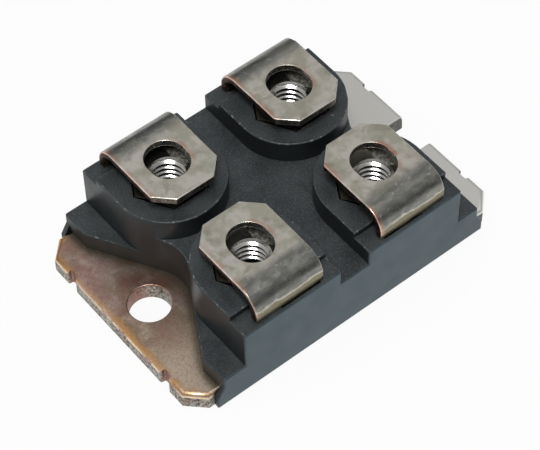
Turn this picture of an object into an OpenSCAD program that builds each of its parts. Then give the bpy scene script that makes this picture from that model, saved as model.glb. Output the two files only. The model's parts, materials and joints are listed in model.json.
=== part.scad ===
// Dual diode power module: a plated copper base plate carries one ceramic substrate
// with two separate diodes. A moulded case covers them, and each of its four bosses
// holds a hex nut under a copper strap that is folded over it as a screw terminal.
// The origin is the middle of the base plate's underside. +X runs along the plate to
// its open slot, +Z points up, and sizes are in millimetres. Heights of the case are
// measured from the top of the base plate.

/* [Base plate] */
// Length of the base plate
plate_l = 38.1; // [37:0.1:42]
// Width of the base plate
plate_w = 24; // [23:0.1:24.4]
// Thickness of the base plate
plate_t = 2; // [1.5:0.1:3]
// Leg of the 45 degree cut on each corner of the plate
plate_cut = 1.8; // [0.5:0.1:2.5]
// Radius of the rolled edge round the top of the plate
plate_roll = 0.4; // [0.1:0.05:0.8]
// Distance of the mounting hole, and of the slot's round end, from the ends of the plate
hole_inset = 3.95; // [3.5:0.05:4.3]
// Diameter of the mounting hole
hole_d = 4.3; // [3.6:0.1:5]
// Width of the open mounting slot
slot_w = 4.4; // [3.6:0.1:5]
// Distance between the two small notches in each end of the plate
notch_pitch = 14.9; // [13:0.1:16]
// Width of each notch
notch_w = 1.15; // [0.6:0.05:1.6]
// Depth of each notch
notch_d = 0.55; // [0.2:0.05:1]

/* [Case] */
// Length of the case over its low end steps
case_l = 31.7; // [30.5:0.1:32.5]
// Width of the case
case_w = 25.3; // [25.1:0.1:27]
// Length of the skirts along the edges of the plate
skirt_l = 33.2; // [32.8:0.1:35]
// Height of the upright ends of the skirts, from their underside
skirt_h = 1.4; // [0.8:0.1:1.8]
// Height of the slope between a skirt's end and the case
skirt_ramp = 1.3; // [0.6:0.1:1.8]
// Room between the skirts and the surface that the plate is screwed to
skirt_lift = 0.1; // [0.05:0.05:0.4]
// Radius of the screw head relief in each end
relief_r = 4; // [3.6:0.1:4.4]
// Angle between each flank of a relief and the end of the case
relief_angle = 30; // [25:1:35]
// Height of the low end steps
step_h = 2.1; // [1.6:0.1:2.8]
// Height of the deck between the bosses
deck_h = 5; // [4.8:0.1:5.4]
// Thickness of the roof under the deck
roof_t = 1.8; // [1.4:0.1:2]
// Thickness of the side and end walls
wall = 1.4; // [1.1:0.1:1.6]
// Radius of the rounded top edges of the case
edge_r = 0.5; // [0.2:0.05:0.8]

/* [Bosses] */
// Radius of the round side of each boss
boss_r = 5.8; // [5.3:0.1:6.2]
// Height of the boss tops
boss_h = 7.6; // [7.2:0.1:8.2]
// Width of the ledge along the outer side of each boss
ledge_w = 2.25; // [1.8:0.05:2.6]
// Height of the ledge
ledge_h = 6.9; // [6.5:0.1:7]
// Bevel round the top of each boss
boss_bevel = 0.2; // [0.05:0.05:0.4]

/* [Terminals] */
// Distance between the screw axes along the case
pitch_x = 15; // [14.6:0.1:15.4]
// Distance between the screw axes across the case
pitch_y = 12.7; // [12.3:0.1:13]
// Width of each strap
strap_w = 8; // [7:0.1:9]
// Thickness of each strap
strap_t = 0.8; // [0.6:0.05:1]
// Gap between the free ends of two facing straps
strap_gap = 3.8; // [3:0.1:5.5]
// Leg of the 45 degree cut on each free corner of a strap
strap_cut = 1.8; // [0.5:0.1:2]
// Inner radius of the fold
bend_r = 1.5; // [0.8:0.1:1.6]
// Distance of the folded leg from the side of the case
leg_inset = 0.45; // [0.3:0.05:0.6]
// Width of the oblong hole for the screw
strap_hole_w = 4.2; // [4.1:0.1:4.6]
// Length of the oblong hole for the screw
strap_hole_l = 4.8; // [4.7:0.1:5.2]
// Width of the narrow neck that goes down into the case
neck_w = 4.5; // [3:0.1:5]
// Distance that the neck is set in below the ledge
joggle = 1.2; // [1.1:0.1:1.8]
// Length of the foot that is soldered to its pad
foot_reach = 2.6; // [1.6:0.1:3]

/* [Nuts] */
// Width across the flats of each nut
nut_af = 7; // [6.6:0.1:7.2]
// Thickness of each nut
nut_h = 3.2; // [2.9:0.1:3.6]
// Diameter of the nut's bore at the crests of its thread
thread_d = 3.3; // [3:0.05:3.6]
// Width of the bevelled rim outside the round face of the nut
nut_bevel = 0.2; // [0.1:0.05:0.4]
// Depth of the countersink in each face of the nut
sink_h = 0.4; // [0.1:0.05:0.6]
// Height of the pocket floor that the nut lies on
nut_seat_h = 4.65; // [4.4:0.05:5]
// Diameter of the room for the screw's end below the nut
screw_room_d = 4.6; // [4.2:0.1:5]
// Depth of the room for the screw's end below the nut
screw_room_h = 0.8; // [0.4:0.1:1]

/* [Substrate] */
// Thickness of the solder between the plate and the substrate
base_solder_t = 0.15; // [0.05:0.05:0.25]
// Thickness of the copper on each face of the ceramic
copper_t = 0.3; // [0.2:0.05:0.4]
// Thickness of the ceramic
ceramic_t = 0.63; // [0.38:0.01:0.7]
// Distance of the copper from the edges of the ceramic
copper_inset = 0.5; // [0.3:0.1:0.8]
// Gap between neighbouring pads
pad_gap = 0.8; // [0.5:0.1:1.2]
// Distance of the gap between cathode and anode pads from the middle
pad_split = 3; // [2.6:0.1:3.4]
// Thickness of the solder under each foot
foot_solder_t = 0.1; // [0.05:0.05:0.2]
// Distance of a foot from the end edge of its pad
foot_margin = 0.4; // [0.2:0.1:0.8]

/* [Diodes] */
// Side of the square diode chip
chip_w = 7; // [5.5:0.1:7.4]
// Thickness of the chip
chip_t = 0.3; // [0.2:0.05:0.35]
// Thickness of the solder under the chip
chip_solder_t = 0.1; // [0.05:0.01:0.12]
// Number of bond wires on each chip
wire_count = 6; // [2:1:6]
// Diameter of each bond wire
wire_d = 0.38; // [0.2:0.02:0.4]
// Distance between neighbouring bond wires
wire_pitch = 1; // [0.6:0.1:1]
// Rise of each bond wire over the line between its ends
wire_rise = 0.8; // [0.5:0.1:0.9]
// Room between the silicone gel and the roof of the case
gel_room = 0.15; // [0.05:0.05:0.2]

/* [Fits] */
// Room between the edges of the plate and the skirts
plate_fit = 0.05; // [0.02:0.01:0.15]
// Room between each nut and the strap over it
nut_room = 1.35; // [0.3:0.05:1.6]
// Room on each side of a nut in its pocket
nut_fit = 0.15; // [0.05:0.05:0.3]
// Room on each side of a neck in its slot
slot_fit = 0.1; // [0.05:0.05:0.15]
// Room between the substrate and the walls of the case
substrate_fit = 0.3; // [0.2:0.05:0.6]
// Room round each bond wire in the silicone gel
wire_fit = 0.02; // [0.01:0.01:0.05]

/* [Hidden] */
$fn = 96;

// Colours of the finished surfaces
PLATE_COLOUR = [0.72, 0.66, 0.58];
CASE_COLOUR = [0.17, 0.18, 0.19];
STRAP_COLOUR = [0.66, 0.65, 0.60];
NUT_COLOUR = [0.50, 0.49, 0.46];
SOLDER_COLOUR = [0.62, 0.63, 0.65];
COPPER_COLOUR = [0.72, 0.45, 0.30];
CERAMIC_COLOUR = [0.93, 0.92, 0.88];
CHIP_COLOUR = [0.30, 0.31, 0.36];
WIRE_COLOUR = [0.80, 0.80, 0.82];
GEL_COLOUR = [0.85, 0.87, 0.88, 0.4];

// Distance that a cut runs past the face that it opens
past = 1;
// The four corners of the case, as signs of X and Y
CORNERS = [[-1, -1], [-1, 1], [1, -1], [1, 1]];

// Heights over the mounting surface
step_z = plate_t + step_h;
deck_z = plate_t + deck_h;
ledge_z = plate_t + ledge_h;
boss_z = plate_t + boss_h;
roof_z = deck_z - roof_t;
nut_z = plate_t + nut_seat_h;
strap_z = nut_z + nut_h + nut_room;

// Plan of the plate and of the case
hole_pitch = plate_l - 2 * hole_inset;
top_l = pitch_x + 2 * boss_r;
side_y = case_w / 2;
room_x = top_l / 2 - wall;
room_y = side_y - wall;

// Strap, in the plane of its fold
strap_in = strap_gap / 2;
leg_in = side_y - leg_inset - strap_t;
bend_y = leg_in - bend_r;
bend_z = strap_z - bend_r;
leg_y = leg_in + strap_t / 2;
neck_y = leg_y - joggle;
foot_y = neck_y - foot_reach;

// Substrate: the reliefs leave the least room on the middle line of the case
substrate_l = 2 * (hole_pitch / 2 - relief_r - wall - substrate_fit);
substrate_w = 2 * (room_y - substrate_fit);
back_z = plate_t + base_solder_t;
ceramic_z = back_z + copper_t;
pad_z = ceramic_z + ceramic_t;
pad_top = pad_z + copper_t;
pad_low_x = pad_gap / 2;
pad_high_x = substrate_l / 2 - copper_inset;
pad_end_y = substrate_w / 2 - copper_inset;
cathode_edge_y = pad_split - pad_gap / 2;
anode_edge_y = pad_split + pad_gap / 2;

// Feet of the straps on their pads
foot_z = pad_top + foot_solder_t + strap_t / 2;
neck_x = pad_high_x - foot_margin - neck_w / 2;
neck_path = [
    [leg_y, bend_z], [leg_y, ledge_z - strap_t / 2], [neck_y, deck_z - roof_t / 2],
    [neck_y, foot_z], [foot_y, foot_z]
];

// Chip between the cathode's foot and the gap between the pads
chip_x = (pad_low_x + pad_high_x) / 2;
chip_y = (cathode_edge_y - foot_y) / 2;
chip_z = pad_top + chip_solder_t;
wire_start = [chip_y + chip_w / 4, chip_z + chip_t + wire_d / 2];
wire_end = [(anode_edge_y + foot_y) / 2, pad_top + wire_d / 2];

// Puts what is drawn for the +X +Y corner into the corner with these signs
module in_corner(signs) {
    mirror([signs[0] < 0 ? 1 : 0, 0, 0])
        mirror([0, signs[1] < 0 ? 1 : 0, 0])
            children();
}

// Puts what is drawn for the diode on the +X side into the place of diode 1 or 2
module on_side(diode) {
    in_corner([diode == 1 ? -1 : 1, 1])
        children();
}

// Extrudes a section drawn in Y and Z along X
module along_x(length) {
    rotate([90, 0, 90])
        linear_extrude(length, center = true)
            children();
}

// Extrudes a section drawn in X and Z along Y
module along_y(length) {
    rotate([90, 0, 0])
        linear_extrude(length, center = true)
            children();
}

// Box between two corners
module box(low, high) {
    translate(low)
        cube(high - low);
}

// Section of this width, from zero up to top, with its two top corners rounded
module arch(width, top, r) {
    translate([-width / 2, 0])
        square([width, top - r]);
    translate([r - width / 2, 0])
        square([width - 2 * r, top]);
    for (side = [-1, 1])
        translate([side * (width / 2 - r), top - r])
            circle(r);
}

// Band of this thickness along a path, round at its turns
module ribbon(path, thickness) {
    for (i = [1:len(path) - 1]) {
        step = path[i] - path[i - 1];
        translate(path[i - 1])
            rotate(atan2(step[1], step[0]))
                translate([0, -thickness / 2])
                    square([norm(step), thickness]);
    }
    for (i = [1:1:len(path) - 2])
        translate(path[i])
            circle(thickness / 2);
}

// Oblong outline that is longest along Y
module oblong(width, length) {
    run = length - width;
    square([width, run], center = true);
    for (side = [-1, 1])
        translate([0, side * run / 2])
            circle(width / 2);
}

// Base plate

module plate_plan() {
    difference() {
        square([plate_l, plate_w], center = true);
        for (signs = CORNERS)
            translate([signs[0] * plate_l / 2, signs[1] * plate_w / 2])
                rotate(45)
                    square(plate_cut * sqrt(2), center = true);
        translate([-hole_pitch / 2, 0])
            circle(hole_d / 2);
        translate([hole_pitch / 2, 0]) {
            circle(slot_w / 2);
            translate([0, -slot_w / 2])
                square([plate_l, slot_w]);
        }
        for (signs = CORNERS)
            translate([signs[0] * plate_l / 2, signs[1] * notch_pitch / 2])
                square([2 * notch_d, notch_w], center = true);
    }
}

// The outline, cut by one rounded bar for each pair of opposite edges
module base_plate() {
    diagonal = (plate_l + plate_w) / sqrt(2) - plate_cut * sqrt(2);
    color(PLATE_COLOUR)
        intersection() {
            linear_extrude(plate_t)
                plate_plan();
            along_x(plate_l)
                arch(plate_w, plate_t, plate_roll);
            along_y(plate_w)
                arch(plate_l, plate_t, plate_roll);
            for (turn = [45, 135])
                rotate(turn)
                    along_x(plate_l + plate_w)
                        arch(diagonal, plate_t, plate_roll);
        }
}

// Case

// Plan of the screw head relief at the -X end, grown to this radius
module relief(r) {
    touch = r * [cos(relief_angle), sin(relief_angle)];
    flank = plate_l * [-sin(relief_angle), cos(relief_angle)];
    low_touch = [touch[0], -touch[1]];
    low_flank = [flank[0], -flank[1]];
    translate([-hole_pitch / 2, 0]) {
        circle(r);
        polygon([touch, touch + flank, low_touch + low_flank, low_touch]);
    }
}

// Plan of both reliefs, grown to this radius
module reliefs(r) {
    for (side = [0, 1])
        mirror([side, 0])
            relief(r);
}

// One storey of the case, with rounded top edges
module storey(length, top) {
    intersection() {
        along_x(length)
            arch(case_w, top, edge_r);
        along_y(case_w)
            arch(length, top, edge_r);
    }
}

// Skirts along the long edges of the plate, with sloped ends
module skirts() {
    ramp_z = skirt_lift + skirt_h + skirt_ramp;
    half = [[0, skirt_lift], [skirt_l / 2, skirt_lift], [skirt_l / 2, skirt_lift + skirt_h],
            [case_l / 2, ramp_z], [0, ramp_z]];
    difference() {
        along_y(case_w)
            for (side = [0, 1])
                mirror([side, 0])
                    polygon(half);
        plate_room(ramp_z + past);
    }
}

// Space over the whole width of the plate, up to this height
module plate_room(top) {
    room_l = plate_l + skirt_l;
    room_w = plate_w + 2 * plate_fit;
    box([-room_l / 2, -room_w / 2, -past], [room_l / 2, room_w / 2, top]);
}

// Boss of the +X +Y corner: round towards the middle, straight to the side
module boss() {
    bevel_z = boss_z - boss_bevel;
    run = side_y - pitch_y / 2;
    intersection() {
        translate([pitch_x / 2, pitch_y / 2, 0]) {
            cylinder(bevel_z, r = boss_r);
            translate([0, 0, bevel_z])
                cylinder(boss_bevel, r1 = boss_r, r2 = boss_r - boss_bevel);
            translate([0, run / 2, 0])
                along_y(run)
                    polygon([[-boss_r, 0], [boss_r, 0], [boss_r, bevel_z], [boss_r - boss_bevel, boss_z],
                             [boss_bevel - boss_r, boss_z], [-boss_r, bevel_z]]);
        }
        translate([pitch_x / 2, 0, 0])
            along_x(2 * boss_r + past)
                boss_section();
    }
}

// Section of a boss across the case, with the ledge on its outer side
module boss_section() {
    square([side_y - ledge_w, boss_z]);
    square([side_y - edge_r, ledge_z]);
    square([side_y, ledge_z - edge_r]);
    translate([side_y - edge_r, ledge_z - edge_r])
        circle(edge_r);
}

// Pocket for a nut, and room for the end of its screw, in the +X +Y corner
module nut_pocket() {
    translate([pitch_x / 2, pitch_y / 2, nut_z]) {
        cylinder(boss_z + past - nut_z, d = (nut_af + 2 * nut_fit) / cos(30), $fn = 6);
        translate([0, 0, -screw_room_h])
            cylinder(screw_room_h + past, d = screw_room_d);
    }
}

// Slot for the neck of a strap in the +X +Y corner
module neck_slot() {
    path = [for (i = [0:3]) neck_path[i]];
    translate([neck_x, 0, 0])
        along_x(neck_w + 2 * slot_fit)
            ribbon(path, strap_t + 2 * slot_fit);
}

// Space inside the case, up to this height
module case_room(top) {
    linear_extrude(top)
        difference() {
            square([2 * room_x, 2 * room_y], center = true);
            reliefs(relief_r + wall);
        }
}

module case() {
    color(CASE_COLOUR)
        difference() {
            union() {
                storey(case_l, step_z);
                storey(top_l, deck_z);
                skirts();
                for (signs = CORNERS)
                    in_corner(signs)
                        boss();
            }
            linear_extrude(boss_z + past)
                reliefs(relief_r);
            plate_room(plate_t);
            box([-case_l, -case_w, -past], [case_l, case_w, skirt_lift]);
            case_room(roof_z);
            for (signs = CORNERS)
                in_corner(signs) {
                    nut_pocket();
                    neck_slot();
                }
        }
}

// Terminals

// Section of the wide part of a strap: its top, its fold and its leg on the ledge
module strap_section() {
    translate([strap_in, strap_z])
        square([bend_y - strap_in, strap_t]);
    translate([bend_y, bend_z])
        intersection() {
            difference() {
                circle(bend_r + strap_t);
                circle(bend_r);
            }
            square(bend_r + strap_t);
        }
    translate([leg_in, ledge_z])
        square([strap_t, bend_z - ledge_z]);
}

// Plan of the wide part of a strap, with its free corners cut
module strap_plan() {
    half_w = strap_w / 2;
    polygon([[half_w, side_y], [-half_w, side_y], [-half_w, strap_in + strap_cut],
             [strap_cut - half_w, strap_in], [half_w - strap_cut, strap_in], [half_w, strap_in + strap_cut]]);
}

// Strap of the +X +Y corner
module strap() {
    color(STRAP_COLOUR) {
        translate([pitch_x / 2, 0, 0])
            difference() {
                intersection() {
                    along_x(strap_w)
                        strap_section();
                    linear_extrude(strap_z + strap_t)
                        strap_plan();
                }
                translate([0, pitch_y / 2, bend_z])
                    linear_extrude(bend_r + strap_t + past)
                        oblong(strap_hole_w, strap_hole_l);
            }
        translate([neck_x, 0, 0])
            along_x(neck_w)
                ribbon(neck_path, strap_t);
    }
}

module cathode_terminal_1() in_corner([-1, -1]) strap();
module anode_terminal_1() in_corner([-1, 1]) strap();
module cathode_terminal_2() in_corner([1, -1]) strap();
module anode_terminal_2() in_corner([1, 1]) strap();

// Hex nut with bevelled corners and a countersink in each face
module nut() {
    corner_r = nut_af / 2 / cos(30);
    face_r = nut_af / 2 - nut_bevel;
    rim_r = corner_r + nut_bevel;
    rim_h = (rim_r - face_r) * tan(30);
    sink_r = thread_d / 2 + sink_h;
    difference() {
        intersection() {
            cylinder(nut_h, r = corner_r, $fn = 6);
            rotate_extrude()
                polygon([[0, 0], [face_r, 0], [rim_r, rim_h],
                         [rim_r, nut_h - rim_h], [face_r, nut_h], [0, nut_h]]);
        }
        translate([0, 0, -past])
            cylinder(nut_h + 2 * past, d = thread_d);
        cylinder(sink_h, r1 = sink_r, r2 = thread_d / 2);
        translate([0, 0, nut_h - sink_h])
            cylinder(sink_h, r1 = thread_d / 2, r2 = sink_r);
    }
}

module terminal_nuts() {
    color(NUT_COLOUR)
        for (signs = CORNERS)
            in_corner(signs)
                translate([pitch_x / 2, pitch_y / 2, nut_z])
                    nut();
}

// Substrate

// Plate under the middle of the case, this far inside the edges of the ceramic
module layer(z, thickness, inset) {
    translate([0, 0, z + thickness / 2])
        cube([substrate_l - 2 * inset, substrate_w - 2 * inset, thickness], center = true);
}

module base_solder() color(SOLDER_COLOUR) layer(plate_t, base_solder_t, copper_inset);
module back_copper() color(COPPER_COLOUR) layer(back_z, copper_t, copper_inset);
module ceramic() color(CERAMIC_COLOUR) layer(ceramic_z, ceramic_t, 0);

// Copper pad of the +X side between two distances across the case
module pad(low_y, high_y) {
    color(COPPER_COLOUR)
        box([pad_low_x, low_y, pad_z], [pad_high_x, high_y, pad_top]);
}

module cathode_pad(diode) on_side(diode) pad(-pad_end_y, cathode_edge_y);
module anode_pad(diode) on_side(diode) pad(anode_edge_y, pad_end_y);
module cathode_pad_1() cathode_pad(1);
module anode_pad_1() anode_pad(1);
module cathode_pad_2() cathode_pad(2);
module anode_pad_2() anode_pad(2);

module foot_solder() {
    color(SOLDER_COLOUR)
        for (signs = CORNERS)
            in_corner(signs)
                box([neck_x - neck_w / 2, foot_y, pad_top],
                    [neck_x + neck_w / 2, min(neck_y, pad_end_y), pad_top + foot_solder_t]);
}

// Diodes

// Square plate at the place of the chip on the +X side
module chip_layer(z, thickness) {
    translate([chip_x, chip_y, z + thickness / 2])
        cube([chip_w, chip_w, thickness], center = true);
}

module chip_solder(diode) color(SOLDER_COLOUR) on_side(diode) chip_layer(pad_top, chip_solder_t);
module diode_chip(diode) color(CHIP_COLOUR) on_side(diode) chip_layer(chip_z, chip_t);
module chip_solder_1() chip_solder(1);
module chip_solder_2() chip_solder(2);
module diode_chip_1() diode_chip(1);
module diode_chip_2() diode_chip(2);

// One bond wire: an arc in Y and Z between its two ends, with this much room round it
module bond_wire(room) {
    chord = wire_end - wire_start;
    span = norm(chord);
    tilt = atan2(chord[1], chord[0]);
    radius = span * span / (8 * wire_rise) + wire_rise / 2;
    half = asin(span / (2 * radius));
    centre = (wire_start + wire_end) / 2 - (radius - wire_rise) * [-sin(tilt), cos(tilt)];
    translate([0, centre[0], centre[1]])
        rotate([90, 0, 90])
            rotate(90 + tilt - half)
                rotate_extrude(angle = 2 * half)
                    translate([radius, 0])
                        circle(wire_d / 2 + room);
}

module bond_wires(diode, room = 0) {
    row = (wire_count - 1) * wire_pitch;
    color(WIRE_COLOUR)
        on_side(diode)
            for (i = [0:wire_count - 1])
                translate([chip_x - row / 2 + i * wire_pitch, 0, 0])
                    bond_wire(room);
}

module bond_wires_1() bond_wires(1);
module bond_wires_2() bond_wires(2);

// Soft fill round everything on the substrate
module silicone_gel() {
    color(GEL_COLOUR)
        difference() {
            intersection() {
                case_room(roof_z - gel_room);
                translate([0, 0, plate_t])
                    linear_extrude(deck_h)
                        square([case_l, case_w], center = true);
            }
            base_solder();
            back_copper();
            ceramic();
            foot_solder();
            for (diode = [1, 2]) {
                cathode_pad(diode);
                anode_pad(diode);
                chip_solder(diode);
                diode_chip(diode);
                bond_wires(diode, wire_fit);
            }
            for (signs = CORNERS)
                in_corner(signs)
                    strap();
        }
}

base_plate();
case();
terminal_nuts();
cathode_terminal_1();
anode_terminal_1();
cathode_terminal_2();
anode_terminal_2();
base_solder();
back_copper();
ceramic();
cathode_pad_1();
anode_pad_1();
cathode_pad_2();
anode_pad_2();
foot_solder();
chip_solder_1();
chip_solder_2();
diode_chip_1();
diode_chip_2();
bond_wires_1();
bond_wires_2();
silicone_gel();
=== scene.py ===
"""Looks of a dual diode power module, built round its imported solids.

The pieces that show are modelled on a bench in millimetres, at the places that the frame gives, and
are brought to metres when they are finished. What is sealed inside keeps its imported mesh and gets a
finish of its own. Lengths are in millimetres unless a name ends in _m.
"""

from __future__ import annotations

import json
import logging
import math
from contextlib import contextmanager
from dataclasses import dataclass, replace
from enum import Enum, IntEnum
from functools import partial
from typing import Any, Callable, Iterator, Mapping, Sequence

import bmesh
import bpy
from mathutils import Matrix, Vector

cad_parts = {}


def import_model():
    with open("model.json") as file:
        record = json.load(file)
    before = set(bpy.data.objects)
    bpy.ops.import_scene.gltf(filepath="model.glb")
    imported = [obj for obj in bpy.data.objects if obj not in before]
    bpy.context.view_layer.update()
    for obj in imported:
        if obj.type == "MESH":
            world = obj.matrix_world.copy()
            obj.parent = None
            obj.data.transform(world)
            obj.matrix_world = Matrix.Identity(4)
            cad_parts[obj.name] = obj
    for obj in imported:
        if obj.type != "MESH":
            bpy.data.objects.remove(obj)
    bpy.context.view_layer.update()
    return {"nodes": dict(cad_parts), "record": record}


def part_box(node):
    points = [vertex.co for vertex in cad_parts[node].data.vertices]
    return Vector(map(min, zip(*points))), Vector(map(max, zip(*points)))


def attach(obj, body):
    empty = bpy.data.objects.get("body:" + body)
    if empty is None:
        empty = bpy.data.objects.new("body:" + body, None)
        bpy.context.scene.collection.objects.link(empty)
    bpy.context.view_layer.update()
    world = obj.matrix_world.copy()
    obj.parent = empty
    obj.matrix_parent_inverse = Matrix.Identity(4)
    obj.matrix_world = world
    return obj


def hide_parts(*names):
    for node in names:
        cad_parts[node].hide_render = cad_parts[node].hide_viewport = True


LOG = logging.getLogger("dual_diode_module")
BODY = "root"

# Metres in a millimetre
MM = 0.001
# Points closer than this are one point, in millimetres
SAME_POINT = 0.002
# Faces that meet at less than this are shaded as one surface
SMOOTH_ANGLE = math.radians(32)
# Faces that meet at more than this make an edge that gets rounded
EDGE_ANGLE = math.radians(28)
# A face looks along an axis where its normal has more than this share of it
FACING = 0.9
# A face leans along an axis from this share on
LEANING = 0.5
# A wall is upright where its normal has less than this share of the height
UPRIGHT = 0.05
# How far a cutting tool runs past what it cuts, in millimetres
CLEAR = 1.0
# Name under which a mesh keeps how far each edge is rounded
BEVEL_WEIGHT = "bevel_weight_edge"

Piece = bpy.types.Object
Material = bpy.types.Material
Tree = bpy.types.NodeTree
Socket = bpy.types.NodeSocket
Node = bpy.types.Node
Face = bmesh.types.BMFace
Edge = bmesh.types.BMEdge
Point = tuple[float, float]


def linear(hex_colour: str) -> tuple[float, float, float, float]:
    """Turn an sRGB hex colour into linear values.

    Args:
        hex_colour: Six hex digits after a hash sign.

    Returns:
        Linear red, green and blue, and an alpha of 1.
    """
    shares = (int(hex_colour[i : i + 2], 16) / 255 for i in (1, 3, 5))
    values = [s / 12.92 if s <= 0.04045 else ((s + 0.055) / 1.055) ** 2.4 for s in shares]
    return (*values, 1.0)


def per_mm(size: float) -> float:
    """Give the texture scale at which a pattern repeats about once in this many millimetres."""
    return 1 / (size * MM)


class Kind(Enum):
    """What a pick selects, as the select mode of an edited mesh."""

    VERTICES = (True, False, False)
    EDGES = (False, True, False)
    FACES = (False, False, True)


class Plane(Enum):
    """Plane that an outline is drawn in, as the order of its two axes and the one across them."""

    PLAN = (0, 1, 2)
    SECTION = (1, 2, 0)

    def place(self, point: Point, across: float = 0.0) -> Vector:
        """Give the place in space of a point of the plane.

        Args:
            point: The two coordinates in the plane.
            across: The coordinate across the plane.

        Returns:
            The place in space.
        """
        place = Vector((0.0, 0.0, 0.0))
        place[self.value[0]], place[self.value[1]] = point
        place[self.value[2]] = across
        return place

    @property
    def axis(self) -> Vector:
        """The unit vector across the plane."""
        return self.place((0.0, 0.0), 1.0)


@dataclass(frozen=True)
class Line:
    """Straight stroke of an outline, to a point."""

    to: Point


@dataclass(frozen=True)
class Arc:
    """Round stroke of an outline about a centre, anticlockwise where the angle is positive."""

    centre: Point
    degrees: float
    steps: int

    def end(self, start: Point) -> Point:
        """Give the point where the arc ends, from the point where it starts."""
        turn = math.radians(self.degrees)
        u, v = start[0] - self.centre[0], start[1] - self.centre[1]
        return (
            self.centre[0] + u * math.cos(turn) - v * math.sin(turn),
            self.centre[1] + u * math.sin(turn) + v * math.cos(turn),
        )


Strokes = Sequence[Line | Arc]


@dataclass(frozen=True)
class Span:
    """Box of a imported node, in millimetres."""

    low: Vector
    high: Vector

    @classmethod
    def of(cls, node: str) -> Span:
        """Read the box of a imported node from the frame."""
        low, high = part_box(node)
        return cls(low / MM, high / MM)


def mount_place(record: Mapping[str, Any], name: str) -> Vector:
    """Give the place of a mount.

    Args:
        record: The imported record.
        name: The mount's name.

    Returns:
        Its place in millimetres.
    """
    mount = next(m for m in record["mounts"] if m["name"] == name)
    return Vector(mount["pos_m"]) / MM


def select_only(piece: Piece) -> None:
    """Select one object, make it the active one and deselect the rest."""
    bpy.ops.object.select_all(action="DESELECT")
    piece.select_set(True)
    bpy.context.view_layer.objects.active = piece


@contextmanager
def editing(piece: Piece) -> Iterator[None]:
    """Open a piece alone in edit mode, and close it again."""
    select_only(piece)
    bpy.ops.object.mode_set(mode="EDIT")
    yield
    bpy.ops.object.mode_set(mode="OBJECT")


def pick(piece: Piece, kind: Kind, test: Callable[[Any], bool]) -> None:
    """Select what passes a test in the mesh that is being edited.

    Args:
        piece: The object in edit mode.
        kind: What is picked.
        test: Says whether a vertex, edge or face is picked.
    """
    bpy.context.tool_settings.mesh_select_mode = kind.value
    bpy.ops.mesh.select_all(action="DESELECT")
    mesh = bmesh.from_edit_mesh(piece.data)
    groups = {Kind.VERTICES: mesh.verts, Kind.EDGES: mesh.edges, Kind.FACES: mesh.faces}
    found = [element for element in groups[kind] if test(element)]
    if not found:
        raise ValueError(f"{piece.name}: the pick found nothing")
    for element in found:
        element.select_set(True)
    mesh.select_flush_mode()
    bmesh.update_edit_mesh(piece.data)


def pick_all() -> None:
    """Select the whole mesh that is being edited, point by point."""
    bpy.context.tool_settings.mesh_select_mode = Kind.VERTICES.value
    bpy.ops.mesh.select_all(action="SELECT")


def merge_points() -> None:
    """Merge the points that lie together in the mesh that is being edited."""
    pick_all()
    bpy.ops.mesh.remove_doubles(threshold=SAME_POINT)


def face_outwards() -> None:
    """Turn all the faces of the mesh that is being edited outwards."""
    pick_all()
    bpy.ops.mesh.normals_make_consistent(inside=False)


def extrude(x: float = 0.0, y: float = 0.0, z: float = 0.0) -> None:
    """Extrude what is selected in edit mode by this much along each axis."""
    bpy.ops.mesh.extrude_region_move(TRANSFORM_OT_translate={"value": (x, y, z)})


def near(a: float, b: float) -> bool:
    """Say whether two coordinates are the same."""
    return abs(a - b) < SAME_POINT


def middle(edge: Edge) -> Vector:
    """Give the midpoint of an edge."""
    return (edge.verts[0].co + edge.verts[1].co) / 2


def is_corner(edge: Edge) -> bool:
    """Say whether an edge is a sharp outer corner."""
    return edge.is_manifold and edge.calc_face_angle_signed() > EDGE_ANGLE


def corner_radius(flats: float) -> float:
    """Give the radius over the corners of a hexagon that is this wide over its flats."""
    return flats / 2 / math.cos(math.pi / 6)


def put_point(place: Vector) -> Piece:
    """Put down a single point to draw from.

    Args:
        place: Where it is.

    Returns:
        A new object with the point as its mesh.
    """
    bpy.ops.object.select_all(action="DESELECT")
    bpy.ops.mesh.primitive_plane_add(size=1.0)
    piece = bpy.context.object
    with editing(piece):
        pick_all()
        bpy.ops.mesh.merge(type="CENTER")
        bpy.ops.transform.translate(value=place)
    return piece


def draw_outline(plane: Plane, across: float, start: Point, strokes: Strokes) -> Piece:
    """Draw a closed outline with one vertex, stroke by stroke, and fill it.

    Args:
        plane: The plane of the outline.
        across: Its place across the plane.
        start: The first point.
        strokes: The strokes, of which the last one ends at the first point.

    Returns:
        A new object with the outline as one face.
    """
    piece = put_point(plane.place(start, across))
    pen = start
    with editing(piece):
        pick_all()
        for stroke in strokes:
            if isinstance(stroke, Line):
                extrude(*(plane.place(stroke.to) - plane.place(pen)))
                pen = stroke.to
            else:
                bpy.ops.mesh.spin(
                    steps=stroke.steps,
                    angle=-math.radians(stroke.degrees),
                    center=plane.place(stroke.centre, across),
                    axis=plane.axis,
                )
                pen = stroke.end(pen)
        merge_points()
        bpy.ops.mesh.edge_face_add()
    return piece


def draw_prism(plane: Plane, low: float, high: float, start: Point, strokes: Strokes) -> Piece:
    """Draw a closed outline and extrude it across its plane.

    Args:
        plane: The plane of the outline.
        low: Where the prism starts across the plane.
        high: Where it ends.
        start: The first point.
        strokes: The strokes back to the first point.

    Returns:
        A new closed solid.
    """
    piece = draw_outline(plane, low, start, strokes)
    with editing(piece):
        pick_all()
        extrude(*(plane.axis * (high - low)))
        face_outwards()
    return piece


def polygon(points: Sequence[Point]) -> tuple[Point, Strokes]:
    """Turn corner points into the start and the strokes of an outline."""
    return points[0], [Line(point) for point in (*points[1:], points[0])]


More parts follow.
